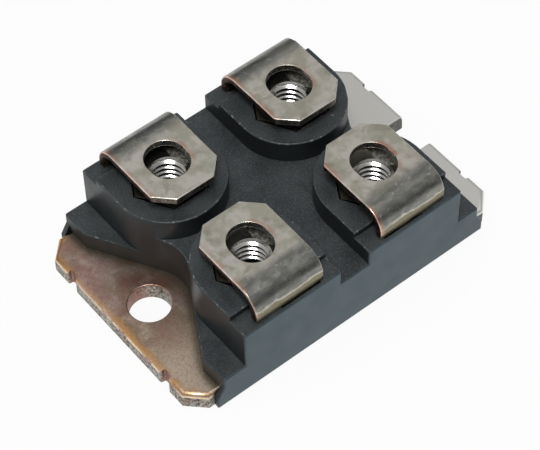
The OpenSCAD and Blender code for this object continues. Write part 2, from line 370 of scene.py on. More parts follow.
def apply_modifier(piece: Piece, kind: str, **settings: Any) -> None:
    """Add a modifier to a piece and apply it.

    Args:
        piece: The object.
        kind: The modifier's type.
        settings: Its settings by name.
    """
    modifier = piece.modifiers.new(kind.lower(), kind)
    for name, value in settings.items():
        setattr(modifier, name, value)
    select_only(piece)
    bpy.ops.object.modifier_apply(modifier=modifier.name)


def cut(piece: Piece, tool: Piece, operation: str = "DIFFERENCE") -> None:
    """Cut a piece with a tool, which is used up.

    Args:
        piece: The object that is cut.
        tool: The closed solid that cuts it.
        operation: How the two are combined.
    """
    apply_modifier(piece, "BOOLEAN", object=tool, operation=operation, solver="MANIFOLD")
    bpy.data.objects.remove(tool)


def join(pieces: Sequence[Piece]) -> Piece:
    """Join several objects into the first one."""
    select_only(pieces[0])
    for piece in pieces:
        piece.select_set(True)
    bpy.ops.object.join()
    return pieces[0]


def round_edges(piece: Piece, radius_of: Callable[[Edge], float], segments: int, slot: int = -1) -> None:
    """Round the edges of a piece, each by its own radius.

    Args:
        piece: The object.
        radius_of: Gives the radius of an edge, or zero where it stays sharp.
        segments: The number of faces across each rounding.
        slot: The material slot of the new faces, or -1 for that of their neighbours.
    """
    with editing(piece):
        mesh = bmesh.from_edit_mesh(piece.data)
        radii = {edge.index: radius_of(edge) for edge in mesh.edges}
        widest = max(radii.values())
        layers = mesh.edges.layers.float
        layer = layers.get(BEVEL_WEIGHT) or layers.new(BEVEL_WEIGHT)
        for edge in mesh.edges:
            edge[layer] = radii[edge.index] / widest
        bmesh.update_edit_mesh(piece.data)
    apply_modifier(
        piece,
        "BEVEL",
        width=widest,
        segments=segments,
        limit_method="WEIGHT",
        use_clamp_overlap=False,
        loop_slide=False,
        material=slot,
    )


def dress(piece: Piece, *materials: Material) -> None:
    """Give a piece its materials, in the order of its slots."""
    piece.data.materials.clear()
    for material in materials:
        piece.data.materials.append(material)


def paint_slot(piece: Piece, slot: int, test: Callable[[Face], bool]) -> None:
    """Put the faces that pass a test in a material slot.

    Args:
        piece: The object, which has its materials.
        slot: The number of the slot.
        test: Says whether a face goes there.
    """
    with editing(piece):
        pick(piece, Kind.FACES, test)
        piece.active_material_index = slot
        bpy.ops.object.material_slot_assign()


def finish_piece(piece: Piece, name: str) -> Piece:
    """Close a modelled piece, bring it to metres at the origin and shade it.

    Args:
        piece: The object, in millimetres.
        name: The piece's name.

    Returns:
        The finished piece.
    """
    with editing(piece):
        merge_points()
    select_only(piece)
    bpy.ops.transform.resize(value=(MM, MM, MM), center_override=(0.0, 0.0, 0.0))
    bpy.ops.object.transform_apply(location=True, rotation=True, scale=True)
    bpy.ops.object.shade_smooth_by_angle(angle=SMOOTH_ANGLE)
    apply_modifier(piece, "WEIGHTED_NORMAL", keep_sharp=True)
    piece.name = name
    piece.data.name = name
    return piece


def hand_over(piece: Piece, slot: str, *nodes: str) -> None:
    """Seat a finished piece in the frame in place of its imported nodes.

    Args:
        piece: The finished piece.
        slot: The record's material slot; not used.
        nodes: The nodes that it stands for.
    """
    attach(piece, BODY)
    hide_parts(*nodes)
    LOG.info("%s stands for %s, %d faces", piece.name, ", ".join(nodes), len(piece.data.polygons))


@dataclass
class BasePlate:
    """Stamped base plate with a round hole at one end and an open slot at the other."""

    span: Span
    hole: Vector
    slot_end: Vector
    hole_r: float
    slot_w: float = 4.4
    corner_cut: float = 1.8
    notch_pitch: float = 14.9
    notch_w: float = 1.15
    notch_d: float = 0.55
    mouth_r: float = 0.25
    nook_r: float = 0.2
    roll: float = 0.5
    rim: float = 0.12
    underside: float = 0.08
    arc_steps: int = 40
    nook_steps: int = 6

    def draw_cutter(self, start: Point, strokes: Strokes) -> Piece:
        """Draw a tool that cuts right through the plate, from its outline."""
        low, high = self.span.low.z - CLEAR, self.span.high.z + CLEAR
        return draw_prism(Plane.PLAN, low, high, start, strokes)

    def cut_notch(self, piece: Piece, side: int, row: int) -> None:
        """Cut one notch with rounded corners through the rolled edge of an end.

        Args:
            piece: The plate.
            side: 1 for the slotted end or -1 for the other.
            row: 1 or -1 for the notch at +Y or -Y.
        """
        end = self.span.high.x + SAME_POINT
        half = self.notch_w / 2
        nook = end - self.notch_d + self.nook_r
        lip = end - self.mouth_r
        mouth = half + self.mouth_r
        outside = end + self.notch_d
        strokes = [
            Line((end, -mouth)),
            Arc((lip, -mouth), 90.0, self.nook_steps),
            Line((nook, -half)),
            Arc((nook, self.nook_r - half), -90.0, self.nook_steps),
            Line((end - self.notch_d, half - self.nook_r)),
            Arc((nook, half - self.nook_r), -90.0, self.nook_steps),
            Line((lip, half)),
            Arc((lip, mouth), 90.0, self.nook_steps),
            Line((outside, mouth)),
            Line((outside, -mouth)),
        ]
        tool = self.draw_cutter((outside, -mouth), strokes)
        if side < 0:
            with editing(tool):
                pick_all()
                bpy.ops.transform.rotate(value=math.pi, orient_axis="Z", center_override=(0.0, 0.0, 0.0))
        with editing(tool):
            pick_all()
            bpy.ops.transform.translate(value=(0.0, row * self.notch_pitch / 2, 0.0))
        cut(piece, tool)

    def cut_openings(self, piece: Piece) -> None:
        """Cut the round hole and the open slot.

        Args:
            piece: The plate.
        """
        bpy.ops.mesh.primitive_cylinder_add(
            vertices=2 * self.arc_steps,
            radius=self.hole_r,
            depth=3 * self.span.high.z,
            location=(self.hole.x, self.hole.y, self.hole.z),
        )
        cut(piece, bpy.context.object)
        half = self.slot_w / 2
        outside = self.span.high.x + CLEAR
        strokes = [
            Line((self.slot_end.x, -half)),
            Arc((self.slot_end.x, 0.0), -180.0, self.arc_steps),
            Line((outside, half)),
            Line((outside, -half)),
        ]
        cut(piece, self.draw_cutter((outside, -half), strokes))

    def in_opening(self, place: Vector) -> bool:
        """Say whether a point is on the rim or the wall of the hole or the slot."""
        in_hole = (place - self.hole).xy.length < self.hole_r + SAME_POINT
        in_slot = place.x > self.slot_end.x - self.slot_w and abs(place.y) < self.slot_w / 2 + SAME_POINT
        return in_hole or in_slot

    def is_sheared(self, face: Face) -> bool:
        """Say whether a face is an upright wall."""
        return abs(face.normal.z) < UPRIGHT

    def rim_radius(self, edge: Edge) -> float:
        """Give the rounding of an upper edge of the hole or the slot."""
        place = middle(edge)
        is_upper = place.z > self.span.high.z - self.roll
        return self.rim if is_corner(edge) and is_upper and self.in_opening(place) else 0.0

    def edge_radius(self, edge: Edge) -> float:
        """Give the rounding of an outer edge of the plate, which is sharp where it is upright."""
        if not near(edge.verts[0].co.z, edge.verts[1].co.z):
            return 0.0
        return self.roll if near(middle(edge).z, self.span.high.z) else self.underside

    def build(self, plated: Material, sheared: Material) -> Piece:
        """Model the plate.

        Args:
            plated: Material of its faces and its roll.
            sheared: Material of its upright walls.

        Returns:
            The finished piece.
        """
        end_x, side_y = self.span.high.x, self.span.high.y
        corner_x, corner_y = end_x - self.corner_cut, side_y - self.corner_cut
        half = [(corner_x, -side_y), (end_x, -corner_y), (end_x, corner_y), (corner_x, side_y)]
        outline = half + [(-x, -y) for x, y in half]
        piece = draw_prism(Plane.PLAN, self.span.low.z, self.span.high.z, *polygon(outline))
        round_edges(piece, self.edge_radius, segments=8)
        self.cut_openings(piece)
        round_edges(piece, self.rim_radius, segments=3)
        for side in (-1, 1):
            for row in (-1, 1):
                self.cut_notch(piece, side, row)
        dress(piece, plated, sheared)
        paint_slot(piece, 1, self.is_sheared)
        return finish_piece(piece, "stamped_base_plate")


class StrapSkin(IntEnum):
    """Material slots of a strap."""

    FACE = 0
    SIDE = 1
    EDGE = 2
    GREY = 3


@dataclass
class Strap:
    """Copper strap that is folded over its nut, as drawn for the corner at +X and +Y."""

    span: Span
    screw: Vector
    ledge_z: float
    thickness: float = 0.8
    corner_cut: float = 1.8
    bend_r: float = 1.5
    hole_w: float = 4.2
    hole_l: float = 4.8
    neck_w: float = 4.5
    neck_shift: float = -1.25
    joggle: float = 1.2
    joggle_z: float = 6.1
    foot_reach: float = 2.6
    edge_r: float = 0.13
    rim_r: float = 0.06
    side_share: float = 0.3
    outward_share: float = 0.15
    bend_steps: int = 18
    hole_steps: int = 28

    def is_sheared(self, face: Face) -> bool:
        """Say whether a face is a punched side or the inner end."""
        return abs(face.normal.x) > self.side_share or near(face.calc_center_median().y, self.span.low.y)

    def is_grey(self, face: Face) -> bool:
        """Say whether a face is the wall of the hole or of the inner end."""
        if abs(face.normal.z) > LEANING:
            return False
        place = face.calc_center_median()
        at_end = face.normal.y < -LEANING and place.y < self.span.low.y + self.corner_cut
        return at_end or (place - self.screw).xy.length < self.hole_l / 2

    def build(self, materials: Sequence[Material]) -> Piece:
        """Model the strap in millimetres.

        Args:
            materials: Those of its faces, its punched sides, its edges, and the walls of its hole and
                its inner end.

        Returns:
            The solid, before it is brought to its corner.
        """
        top = self.span.high.z
        under = top - self.thickness
        outer_y = self.span.high.y
        bend_y = outer_y - self.thickness - self.bend_r
        bend_z = under - self.bend_r
        inner_y = self.span.low.y
        left, right = self.span.low.x, self.span.high.x
        piece = draw_prism(
            Plane.PLAN,
            under,
            top,
            *polygon(
                [
                    (left + self.corner_cut, inner_y),
                    (right - self.corner_cut, inner_y),
                    (right, inner_y + self.corner_cut),
                    (right, bend_y),
                    (left, bend_y),
                    (left, inner_y + self.corner_cut),
                ]
            ),
        )
        self.punch_hole(piece, under, top)

        def at_bend(face: Face) -> bool:
            """Say whether a face is the end that the fold starts from."""
            return face.normal.y > FACING and near(face.calc_center_median().y, bend_y)

        with editing(piece):
            pick(piece, Kind.FACES, at_bend)
            bpy.ops.mesh.spin(
                steps=self.bend_steps,
                angle=math.pi / 2,
                center=(0.0, bend_y, bend_z),
                axis=(1.0, 0.0, 0.0),
            )
            extrude(z=self.ledge_z - bend_z)
        self.draw_neck(piece, left, right, outer_y)
        dress(piece, *materials)
        paint_slot(piece, StrapSkin.SIDE, self.is_sheared)
        round_edges(piece, self.edge_radius, segments=3, slot=StrapSkin.EDGE)
        paint_slot(piece, StrapSkin.FACE, self.is_hole_rim)
        paint_slot(piece, StrapSkin.SIDE, self.is_inward)
        paint_slot(piece, StrapSkin.GREY, self.is_grey)
        return piece

    def by_hole(self, place: Vector) -> bool:
        """Say whether a point is at the rim of the hole."""
        return (place - self.screw).xy.length < self.hole_l / 2 + 2 * self.rim_r

    def is_hole_rim(self, face: Face) -> bool:
        """Say whether a face is on a rounded edge of the hole."""
        return face.material_index == StrapSkin.EDGE and self.by_hole(face.calc_center_median())

    def is_inward(self, face: Face) -> bool:
        """Say whether a face is on a rounded edge and off the outer side of the fold."""
        if face.material_index != StrapSkin.EDGE:
            return False
        place = face.calc_center_median()
        reach = self.thickness + self.bend_r
        bend = Vector((0.0, self.span.high.y - reach, self.span.high.z - reach))
        away = Vector((0.0, max(place.y - bend.y, 0.0), max(place.z - bend.z, 0.0)))
        return face.normal.dot(away.normalized()) <= self.outward_share

    def edge_radius(self, edge: Edge) -> float:
        """Give the rounding of an edge of the strap."""
        if not is_corner(edge):
            return 0.0
        return self.rim_r if self.by_hole(middle(edge)) else self.edge_r

    def punch_hole(self, piece: Piece, under: float, top: float) -> None:
        """Cut the oblong screw hole.

        Args:
            piece: The flat strap.
            under: Height of its underside.
            top: Height of its top.
        """
        x, y = self.screw.x, self.screw.y
        half_w = self.hole_w / 2
        run = (self.hole_l - self.hole_w) / 2
        strokes = [
            Line((x + half_w, y + run)),
            Arc((x, y + run), 180.0, self.hole_steps),
            Line((x - half_w, y - run)),
            Arc((x, y - run), 180.0, self.hole_steps),
        ]
        cut(piece, draw_prism(Plane.PLAN, under - CLEAR, top + CLEAR, (x + half_w, y - run), strokes))

    def draw_neck(self, piece: Piece, left: float, right: float, outer_y: float) -> None:
        """Draw the narrow neck from the leg down to its foot inside the case.

        Args:
            piece: The folded strap.
            left: Its low side along X.
            right: Its high side along X.
            outer_y: The outer face of its leg.
        """
        centre = (left + right) / 2 + self.neck_shift
        foot_z = self.span.low.z
        with editing(piece):
            for edge_x in (centre - self.neck_w / 2, centre + self.neck_w / 2):
                pick(
                    piece,
                    Kind.FACES,
                    lambda face: all(v.co.y > outer_y - self.thickness - SAME_POINT for v in face.verts)
                    and face.calc_center_median().z < self.ledge_z + self.thickness,
                )
                bpy.ops.mesh.bisect(plane_co=(edge_x, 0.0, 0.0), plane_no=(1.0, 0.0, 0.0))
            pick(
                piece,
                Kind.FACES,
                lambda face: near(face.calc_center_median().z, self.ledge_z)
                and face.normal.z < -FACING
                and near(face.calc_center_median().x, centre),
            )
            extrude(z=-self.thickness / 2)
            extrude(y=-self.joggle, z=self.joggle_z - self.ledge_z + self.thickness / 2)
            extrude(z=foot_z + self.thickness - self.joggle_z)
            extrude(z=-self.thickness)
            pick(
                piece,
                Kind.FACES,
                lambda face: face.normal.y < -FACING
                and face.calc_center_median().z < foot_z + self.thickness,
            )
            extrude(y=self.thickness / 2 - self.foot_reach)


@dataclass
class TerminalNut:
    """Hex nut with a real thread, as drawn about its own axis from zero up."""

    height: float
    flats: float
    bore_r: float
    thread_r: float = 2.0
    thread_pitch: float = 0.7
    thread_steps: int = 56
    spare_turns: int = 3
    face_bevel: float = 0.2
    sink: float = 0.4
    corner_r: float = 0.06
    round_steps: int = 72

    def build(self, dull: Material, bright: Material) -> Piece:
        """Model one nut in millimetres.

        Args:
            dull: Material of its outside, painted dark as shade.
            bright: Material of its thread.

        Returns:
            The solid, at the origin.
        """
        corner = corner_radius(self.flats)
        bpy.ops.object.select_all(action="DESELECT")
        bpy.ops.mesh.primitive_cylinder_add(
            vertices=6, radius=corner, depth=self.height, location=(0.0, 0.0, self.height / 2)
        )
        piece = bpy.context.object
        bpy.ops.object.transform_apply(location=True, rotation=True, scale=True)
        with editing(piece):
            pick_all()
            bpy.ops.transform.rotate(
                value=math.pi / 6, orient_axis="Z", center_override=(0.0, 0.0, 0.0)
            )
        round_edges(piece, self.edge_radius, segments=2)
        cut(piece, self.barrel(corner), "INTERSECT")
        cut(piece, self.tap())
        for base, turn in ((0.0, 1), (self.height, -1)):
            bpy.ops.mesh.primitive_cone_add(
                vertices=self.round_steps,
                radius1=self.bore_r + self.sink + turn * self.sink,
                radius2=self.bore_r + self.sink - turn * self.sink,
                depth=2 * self.sink,
                location=(0.0, 0.0, base),
            )
            cut(piece, bpy.context.object)
        dress(piece, dull, bright)
        paint_slot(piece, 1, lambda face: face.calc_center_median().xy.length < self.thread_r + self.sink)
        return piece

    def edge_radius(self, edge: Edge) -> float:
        """Give the rounding of an edge of the hexagon, which is sharp where it is level."""
        return self.corner_r if near(middle(edge).z, self.height / 2) else 0.0

    def barrel(self, corner: float) -> Piece:
        """Draw the round body that bevels the corners of the nut.

        Args:
            corner: Radius over the corners.

        Returns:
            A closed solid.
        """
        face_r = self.flats / 2 - self.face_bevel
        rim_r = corner + self.face_bevel
        rim_h = (rim_r - face_r) * math.tan(math.pi / 6)
        bpy.ops.mesh.primitive_circle_add(vertices=self.round_steps, radius=face_r, fill_type="NGON")
        piece = bpy.context.object
        spread = rim_r / face_r
        with editing(piece):
            pick_all()
            for rise, scale in ((rim_h, spread), (self.height - 2 * rim_h, 1.0), (rim_h, 1 / spread)):
                extrude(z=rise)
                bpy.ops.transform.resize(value=(scale, scale, 1.0), center_override=(0.0, 0.0, 0.0))
            face_outwards()
        return piece

    def tap(self) -> Piece:
        """Draw the tap that cuts the bore and its thread.

        Returns:
            A closed solid that runs past both faces of the nut.
        """
        crest = self.thread_pitch / 16
        root_r = self.bore_r
        flank = (self.thread_r - root_r) * math.tan(math.pi / 6)
        half = self.thread_pitch / 2
        turns = math.ceil(self.height / self.thread_pitch) + self.spare_turns
        base = -self.spare_turns / 2 * self.thread_pitch
        halfway = base + turns / 2 * self.thread_pitch
        profile = [
            (root_r, half - crest - flank),
            (self.thread_r, half - crest),
            (self.thread_r, half + crest),
            (root_r, half + crest + flank),
            (root_r, self.thread_pitch),
        ]
        pen = Vector((root_r, 0.0, base))
        piece = put_point(pen)
        with editing(piece):
            pick_all()
            for radius, rise in profile:
                place = Vector((radius, 0.0, base + rise))
                extrude(*(place - pen))
                pen = place
        apply_modifier(
            piece,
            "SCREW",
            axis="Z",
            angle=2 * math.pi,
            screw_offset=self.thread_pitch,
            iterations=turns,
            steps=self.thread_steps,
            render_steps=self.thread_steps,
            use_merge_vertices=True,
            merge_threshold=SAME_POINT,
        )
        with editing(piece):
            merge_points()
            for is_low in (True, False):
                pick(
                    piece,
                    Kind.EDGES,
                    lambda edge: edge.is_boundary and (middle(edge).z < halfway) == is_low,
                )
                extrude(z=-self.thread_pitch if is_low else self.thread_pitch)
                bpy.ops.mesh.merge(type="CENTER")
            face_outwards()
        return piece


@dataclass
class Case:
    """Moulded case: low end steps, a deck with screw head reliefs, and four bosses with ledges."""

    span: Span
    screw: Vector
    hole: Vector
    plate: Span
    nut: Span
    length: float = 31.7
    step_z: float = 4.1
    deck_z: float = 7.0
    ledge_z: float = 8.9
    ledge_w: float = 2.25
    boss_r: float = 5.8
    relief_r: float = 4.0
    relief_degrees: float = 30.0
    skirt_end_h: float = 1.4
    skirt_ramp: float = 1.3
    wall: float = 1.4
    roof: float = 1.8
    plate_fit: float = 0.05
    nut_flats: float = 7.3
    screw_room_r: float = 2.3
    screw_room_h: float = 0.8
    slot_w: float = 4.7
    slot_t: float = 1.0
    slot_shift: float = -1.25
    leg_inset: float = 0.85
    turn_drop: float = 0.4
    joggle: float = 1.2
    outer_r: float = 0.22
    corner_r: float = 0.22
    rim_r: float = 0.16
    pocket_r: float = 0.07
    arc_steps: int = 56
    side_steps: int = 10

    @property
    def end_x(self) -> float:
        """Where the upper part of the case ends along X."""
        return self.screw.x + self.boss_r

    @property
    def side_y(self) -> float:
        """Where the case ends along Y."""
        return self.span.high.y

    @property
    def ledge_y(self) -> float:
        """Where the ledge of a boss starts along Y."""
        return self.side_y - self.ledge_w

    @property
    def boss(self) -> Point:
        """The axis of a boss in plan."""
        return (self.screw.x, self.screw.y)

    @property
    def flank(self) -> Vector:
        """The direction of a relief's flank in plan."""
        slope = math.radians(self.relief_degrees)
        return Vector((math.sin(slope), math.cos(slope)))

    def relief_touch(self, radius: float) -> Vector:
        """Give the point where a relief of this radius turns into its flank."""
        slope = math.radians(self.relief_degrees)
        return Vector((self.hole.x - radius * math.cos(slope), radius * math.sin(slope)))

    def flank_at(self, radius: float, x: float) -> Point:
        """Give the point where the flank of a relief of this radius is at x."""
        touch = self.relief_touch(radius)
        y = touch.y + (x - touch.x) * self.flank.y / self.flank.x
        return (x, y)

    def boss_chord(self) -> tuple[Vector, Vector]:
        """Give the two points where the flank of a relief crosses the round of a boss."""
        touch = self.relief_touch(self.relief_r)
        to_boss = Vector(self.boss) - touch
        along = to_boss.dot(self.flank)
        off = (to_boss - along * self.flank).length
        half = math.sqrt(self.boss_r**2 - off**2)
        return touch + (along - half) * self.flank, touch + (along + half) * self.flank

    def boss_angle(self, place: Vector) -> float:
        """Give the angle of a point round the axis of a boss, in degrees below the X axis."""
        return -math.degrees(math.atan2(place.y - self.screw.y, place.x - self.screw.x))

    def plan_faces(self) -> list[Piece]:
        """Draw the plan of one quarter of the case as one face for each height.

        Returns:
            The faces of the low step, the deck, the boss and its ledge.
        """
        low, high = self.boss_chord()
        low_degrees, high_degrees = self.boss_angle(low), self.boss_angle(high)
        round_degrees = 180 - low_degrees
        inner_x = self.screw.x - self.boss_r
        end_x, side_y, ledge_y, boss_y = self.end_x, self.side_y, self.ledge_y, self.screw.y
        step_x = self.length / 2
        step = [
            Line(self.flank_at(self.relief_r, step_x)),
            Line((step_x, side_y)),
            Line((end_x, side_y)),
            Line((end_x, ledge_y)),
            Line((end_x, boss_y)),
            Arc(self.boss, -high_degrees, self.side_steps),
        ]
        deck = [
            Line((self.hole.x - self.relief_r, 0.0)),
            Arc((self.hole.x, 0.0), -self.relief_degrees, self.side_steps),
            Line(tuple(low)),
            Arc(self.boss, -round_degrees, self.arc_steps),
            Line((inner_x, ledge_y)),
            Line((inner_x, side_y)),
            Line((0.0, side_y)),
            Line((0.0, 0.0)),
        ]
        boss = [
            Arc(self.boss, round_degrees, self.arc_steps),
            Line(tuple(high)),
            Arc(self.boss, high_degrees, self.side_steps),
            Line((end_x, ledge_y)),
            Line((inner_x, ledge_y)),
            Line((inner_x, boss_y)),
        ]
        ledge = polygon([(inner_x, ledge_y), (end_x, ledge_y), (end_x, side_y), (inner_x, side_y)])
        return [
            draw_outline(Plane.PLAN, self.step_z, tuple(high), step),
            draw_outline(Plane.PLAN, self.step_z, (0.0, 0.0), deck),
            draw_outline(Plane.PLAN, self.step_z, (inner_x, boss_y), boss),
            draw_outline(Plane.PLAN, self.step_z, *ledge),
        ]

    def raise_storeys(self, piece: Piece) -> None:
        """Raise the plan of a quarter to its heights, draw its walls and mirror it to the whole case.

        Args:
            piece: The plan, with one face for each height.
        """
        boss_z = self.span.high.z

        def is_top(face: Face) -> bool:
            """Say whether a face looks up."""
            return face.normal.z > FACING

        def on_boss(face: Face) -> bool:
            """Say whether a face belongs to the boss or its ledge."""
            return is_top(face) and near(face.calc_center_bounds().x, self.screw.x)

        with editing(piece):
            merge_points()
            face_outwards()
            pick(piece, Kind.FACES, lambda face: face.calc_center_bounds().x < self.end_x)
            extrude(z=self.deck_z - self.step_z)
            pick(piece, Kind.FACES, on_boss)
            extrude(z=self.ledge_z - self.deck_z)
            pick(piece, Kind.FACES, lambda face: on_boss(face) and face.calc_center_bounds().y < self.ledge_y)
            extrude(z=boss_z - self.ledge_z)
            pick(
                piece,
                Kind.FACES,
                lambda face: not is_top(face)
                and any(all(near(v.co[axis], 0.0) for v in face.verts) for axis in (0, 1)),
            )
            bpy.ops.mesh.delete(type="FACE")
            pick(
                piece,
                Kind.EDGES,
                lambda edge: edge.is_boundary
                and all(near(v.co.z, self.step_z) for v in edge.verts)
                and not any(all(near(v.co[axis], 0.0) for v in edge.verts) for axis in (0, 1)),
            )
            extrude(z=self.plate.high.z - self.step_z)
        apply_modifier(
            piece,
            "MIRROR",
            use_axis=(True, True, False),
            use_mirror_merge=True,
            merge_threshold=SAME_POINT,
        )
        with editing(piece):
            pick(piece, Kind.EDGES, lambda edge: edge.is_boundary)
            bpy.ops.mesh.edge_face_add()
            face_outwards()

    def draw_skirts(self, piece: Piece) -> None:
        """Draw the skirts down along the long edges of the plate, with their sloped ends.

        Args:
            piece: The closed upper body of the case.
        """
        inner_y = self.plate.high.y + self.plate_fit
        floor_z = self.plate.high.z
        low_z = self.span.low.z
        step_x = self.length / 2
        ramp_z = low_z + self.skirt_end_h + self.skirt_ramp
        reach = self.span.high.x - step_x

        def is_end_wall(face: Face) -> bool:
            """Say whether a face is an end wall of a low step or a skirt."""
            return all(near(abs(v.co.x), step_x) for v in face.verts)

        with editing(piece):
            for side in (-1, 1):
                pick(piece, Kind.FACES, lambda face: face.normal.z < -FACING or is_end_wall(face))
                bpy.ops.mesh.bisect(plane_co=(0.0, side * inner_y, 0.0), plane_no=(0.0, 1.0, 0.0))
            pick(piece, Kind.FACES, is_end_wall)
            bpy.ops.mesh.bisect(plane_co=(0.0, 0.0, ramp_z), plane_no=(0.0, 0.0, 1.0))
            pick(
                piece,
                Kind.FACES,
                lambda face: face.normal.z < -FACING and abs(face.calc_center_bounds().y) > inner_y,
            )
            extrude(z=low_z - floor_z)
            for side in (-1, 1):
                pick(
                    piece,
                    Kind.FACES,
                    lambda face: is_end_wall(face)
                    and face.calc_center_bounds().x * side > 0
                    and abs(face.calc_center_bounds().y) > inner_y
                    and face.calc_center_bounds().z < ramp_z,
                )
                extrude(x=side * reach)
            pick(
                piece,
                Kind.EDGES,
                lambda edge: abs(middle(edge).x) > step_x + SAME_POINT
                and all(near(v.co.z, floor_z) for v in edge.verts),
            )
            bpy.ops.mesh.dissolve_edges(use_verts=True)
            pick(
                piece,
                Kind.VERTICES,
                lambda vertex: near(abs(vertex.co.x), self.span.high.x) and near(vertex.co.z, ramp_z),
            )
            bpy.ops.transform.translate(value=(0.0, 0.0, -self.skirt_ramp))

    def cut_room(self, piece: Piece) -> None:
        """Hollow the case for its substrate, and cut the nut pockets and the strap slots.

        Args:
            piece: The outer body of the case.
        """
        room_x, room_y = self.end_x - self.wall, self.side_y - self.wall
        grown = self.relief_r + self.wall
        touch = self.relief_touch(grown)
        mouth = self.flank_at(grown, room_x)
        strokes = [
            Line((room_x, room_y)),
            Line((-room_x, room_y)),
            Line((-mouth[0], mouth[1])),
            Line((-touch.x, touch.y)),
            Arc((-self.hole.x, 0.0), -2 * self.relief_degrees, 2 * self.side_steps),
            Line((-mouth[0], -mouth[1])),
            Line((-room_x, -room_y)),
            Line((room_x, -room_y)),
            Line((mouth[0], -mouth[1])),
            Line((touch.x, -touch.y)),
            Arc((self.hole.x, 0.0), -2 * self.relief_degrees, 2 * self.side_steps),
            Line(mouth),
        ]
        floor_z = self.plate.high.z
        cut(piece, draw_prism(Plane.PLAN, floor_z - CLEAR, self.deck_z - self.roof, mouth, strokes))
        for x in (-self.screw.x, self.screw.x):
            for y in (-self.screw.y, self.screw.y):
                self.cut_pocket(piece, x, y)
                self.cut_slot(piece, x, y)

    def cut_pocket(self, piece: Piece, x: float, y: float) -> None:
        """Cut the pocket of one nut, with the room for its screw's end below.

        Args:
            piece: The case.
            x: Place of the screw along the case.
            y: Place of the screw across the case.
        """
        floor_z = self.nut.low.z
        bpy.ops.mesh.primitive_cylinder_add(
            vertices=self.arc_steps,
            radius=self.screw_room_r,
            depth=2 * self.screw_room_h,
            location=(x, y, floor_z),
        )
        cut(piece, bpy.context.object)
        depth = 2 * (self.span.high.z - floor_z)
        bpy.ops.mesh.primitive_cylinder_add(
            vertices=6,
            radius=corner_radius(self.nut_flats),
            depth=depth,
            location=(x, y, floor_z + depth / 2),
            rotation=(0.0, 0.0, math.pi / 6),
        )
        cut(piece, bpy.context.object)

    def cut_slot(self, piece: Piece, x: float, y: float) -> None:
        """Cut the slot that the neck of one strap goes down through.

        Args:
            piece: The case.
            x: Place of the screw along the case.
            y: Place of the screw across the case.
        """
        side = math.copysign(1, y)
        leg_y = self.side_y - self.leg_inset
        half = self.slot_t / 2
        turn_z, roof_z = self.ledge_z - self.turn_drop, self.deck_z - self.roof / 2
        low_z = self.deck_z - self.roof - CLEAR
        inner = [(leg_y - half, self.ledge_z + CLEAR), (leg_y - half, turn_z)]
        inner += [(leg_y - self.joggle - half, roof_z), (leg_y - self.joggle - half, low_z)]
        points = inner + [(across + self.slot_t, height) for across, height in reversed(inner)]
        centre = x + math.copysign(1, x) * self.slot_shift
        tool = draw_prism(
            Plane.SECTION,
            centre - self.slot_w / 2,
            centre + self.slot_w / 2,
            *polygon([(side * across, height) for across, height in points]),
        )
        cut(piece, tool)

    def edge_radius(self, edge: Edge) -> float:
        """Give the rounding of an edge of the case."""
        if not is_corner(edge):
            return 0.0
        place = middle(edge)
        from_screw = Vector((abs(place.x) - self.screw.x, abs(place.y) - self.screw.y)).length
        on_ledge = self.ledge_y + SAME_POINT < abs(place.y) < self.side_y - SAME_POINT
        on_slot = place.z > self.deck_z and on_ledge
        is_ledge_end = on_slot and (
            near(abs(place.x), self.end_x) or near(abs(place.x), self.screw.x - self.boss_r)
        )
        if near(place.z, self.span.high.z) and from_screw < corner_radius(self.nut_flats):
            if abs(abs(place.y) - self.ledge_y) > SAME_POINT:
                return self.pocket_r
        if on_slot and not is_ledge_end:
            return 0.0
        in_room = abs(place.x) < self.end_x - self.wall / 2 and abs(place.y) < self.side_y - self.wall / 2
        if place.z < self.plate.high.z + SAME_POINT or (in_room and place.z < self.deck_z - SAME_POINT):
            return self.rim_r if near(abs(place.y), self.side_y) else 0.0
        if abs(place.x) > self.length / 2 + SAME_POINT:
            return self.rim_r if near(abs(place.y), self.side_y) else 0.0
        is_level = near(edge.verts[0].co.z, edge.verts[1].co.z)
        if near(abs(place.y), self.side_y) or near(abs(place.x), self.length / 2):
            return self.outer_r if is_level else self.corner_r
        return self.rim_r

    def is_plain(self, face: Face) -> bool:
        """Say whether a rounded face is on an outer edge, which isn't rubbed."""
        place = face.calc_center_median()
        return abs(place.y) > self.side_y - self.outer_r or abs(place.x) > self.length / 2 - self.outer_r

    def build(self, body: Material, worn: Material) -> Piece:
        """Model the case.

        Args:
            body: Material of its surfaces.
            worn: Material of its rounded edges.

        Returns:
            The finished piece.
        """
        piece = join(self.plan_faces())
        self.raise_storeys(piece)
        self.draw_skirts(piece)
        self.cut_room(piece)
        dress(piece, body, worn)
        round_edges(piece, self.edge_radius, segments=5, slot=1)
        paint_slot(piece, 0, self.is_plain)
        return finish_piece(piece, "moulded_case")


def add_node(tree: Tree, kind: str, inputs: Mapping[str | int, Any] | None = None, **settings: Any) -> Node:
    """Add a node to a tree, with its settings, values and links.

    Args:
        tree: The node tree.
        kind: The node's type.
        inputs: Its inputs by name or number, each a value, a socket, or a node whose first output is linked.
        settings: Its settings by name.

    Returns:
        The new node.
    """
    node = tree.nodes.new(kind)
    for name, value in settings.items():
        setattr(node, name, value)
    for key, value in (inputs or {}).items():
        if isinstance(value, Node):
            value = next(socket for socket in value.outputs if socket.enabled)
        if isinstance(value, Socket):
            tree.links.new(value, node.inputs[key])
        else:
            node.inputs[key].default_value = value
    return node


NOISE = "ShaderNodeTexNoise"
SPREAD = "ShaderNodeMapRange"
MATH = "ShaderNodeMath"
VECTOR = "ShaderNodeVectorMath"
MAPPING = "ShaderNodeMapping"
MIX = "ShaderNodeMix"
SPLIT = "ShaderNodeSeparateXYZ"
BUMP = "ShaderNodeBump"
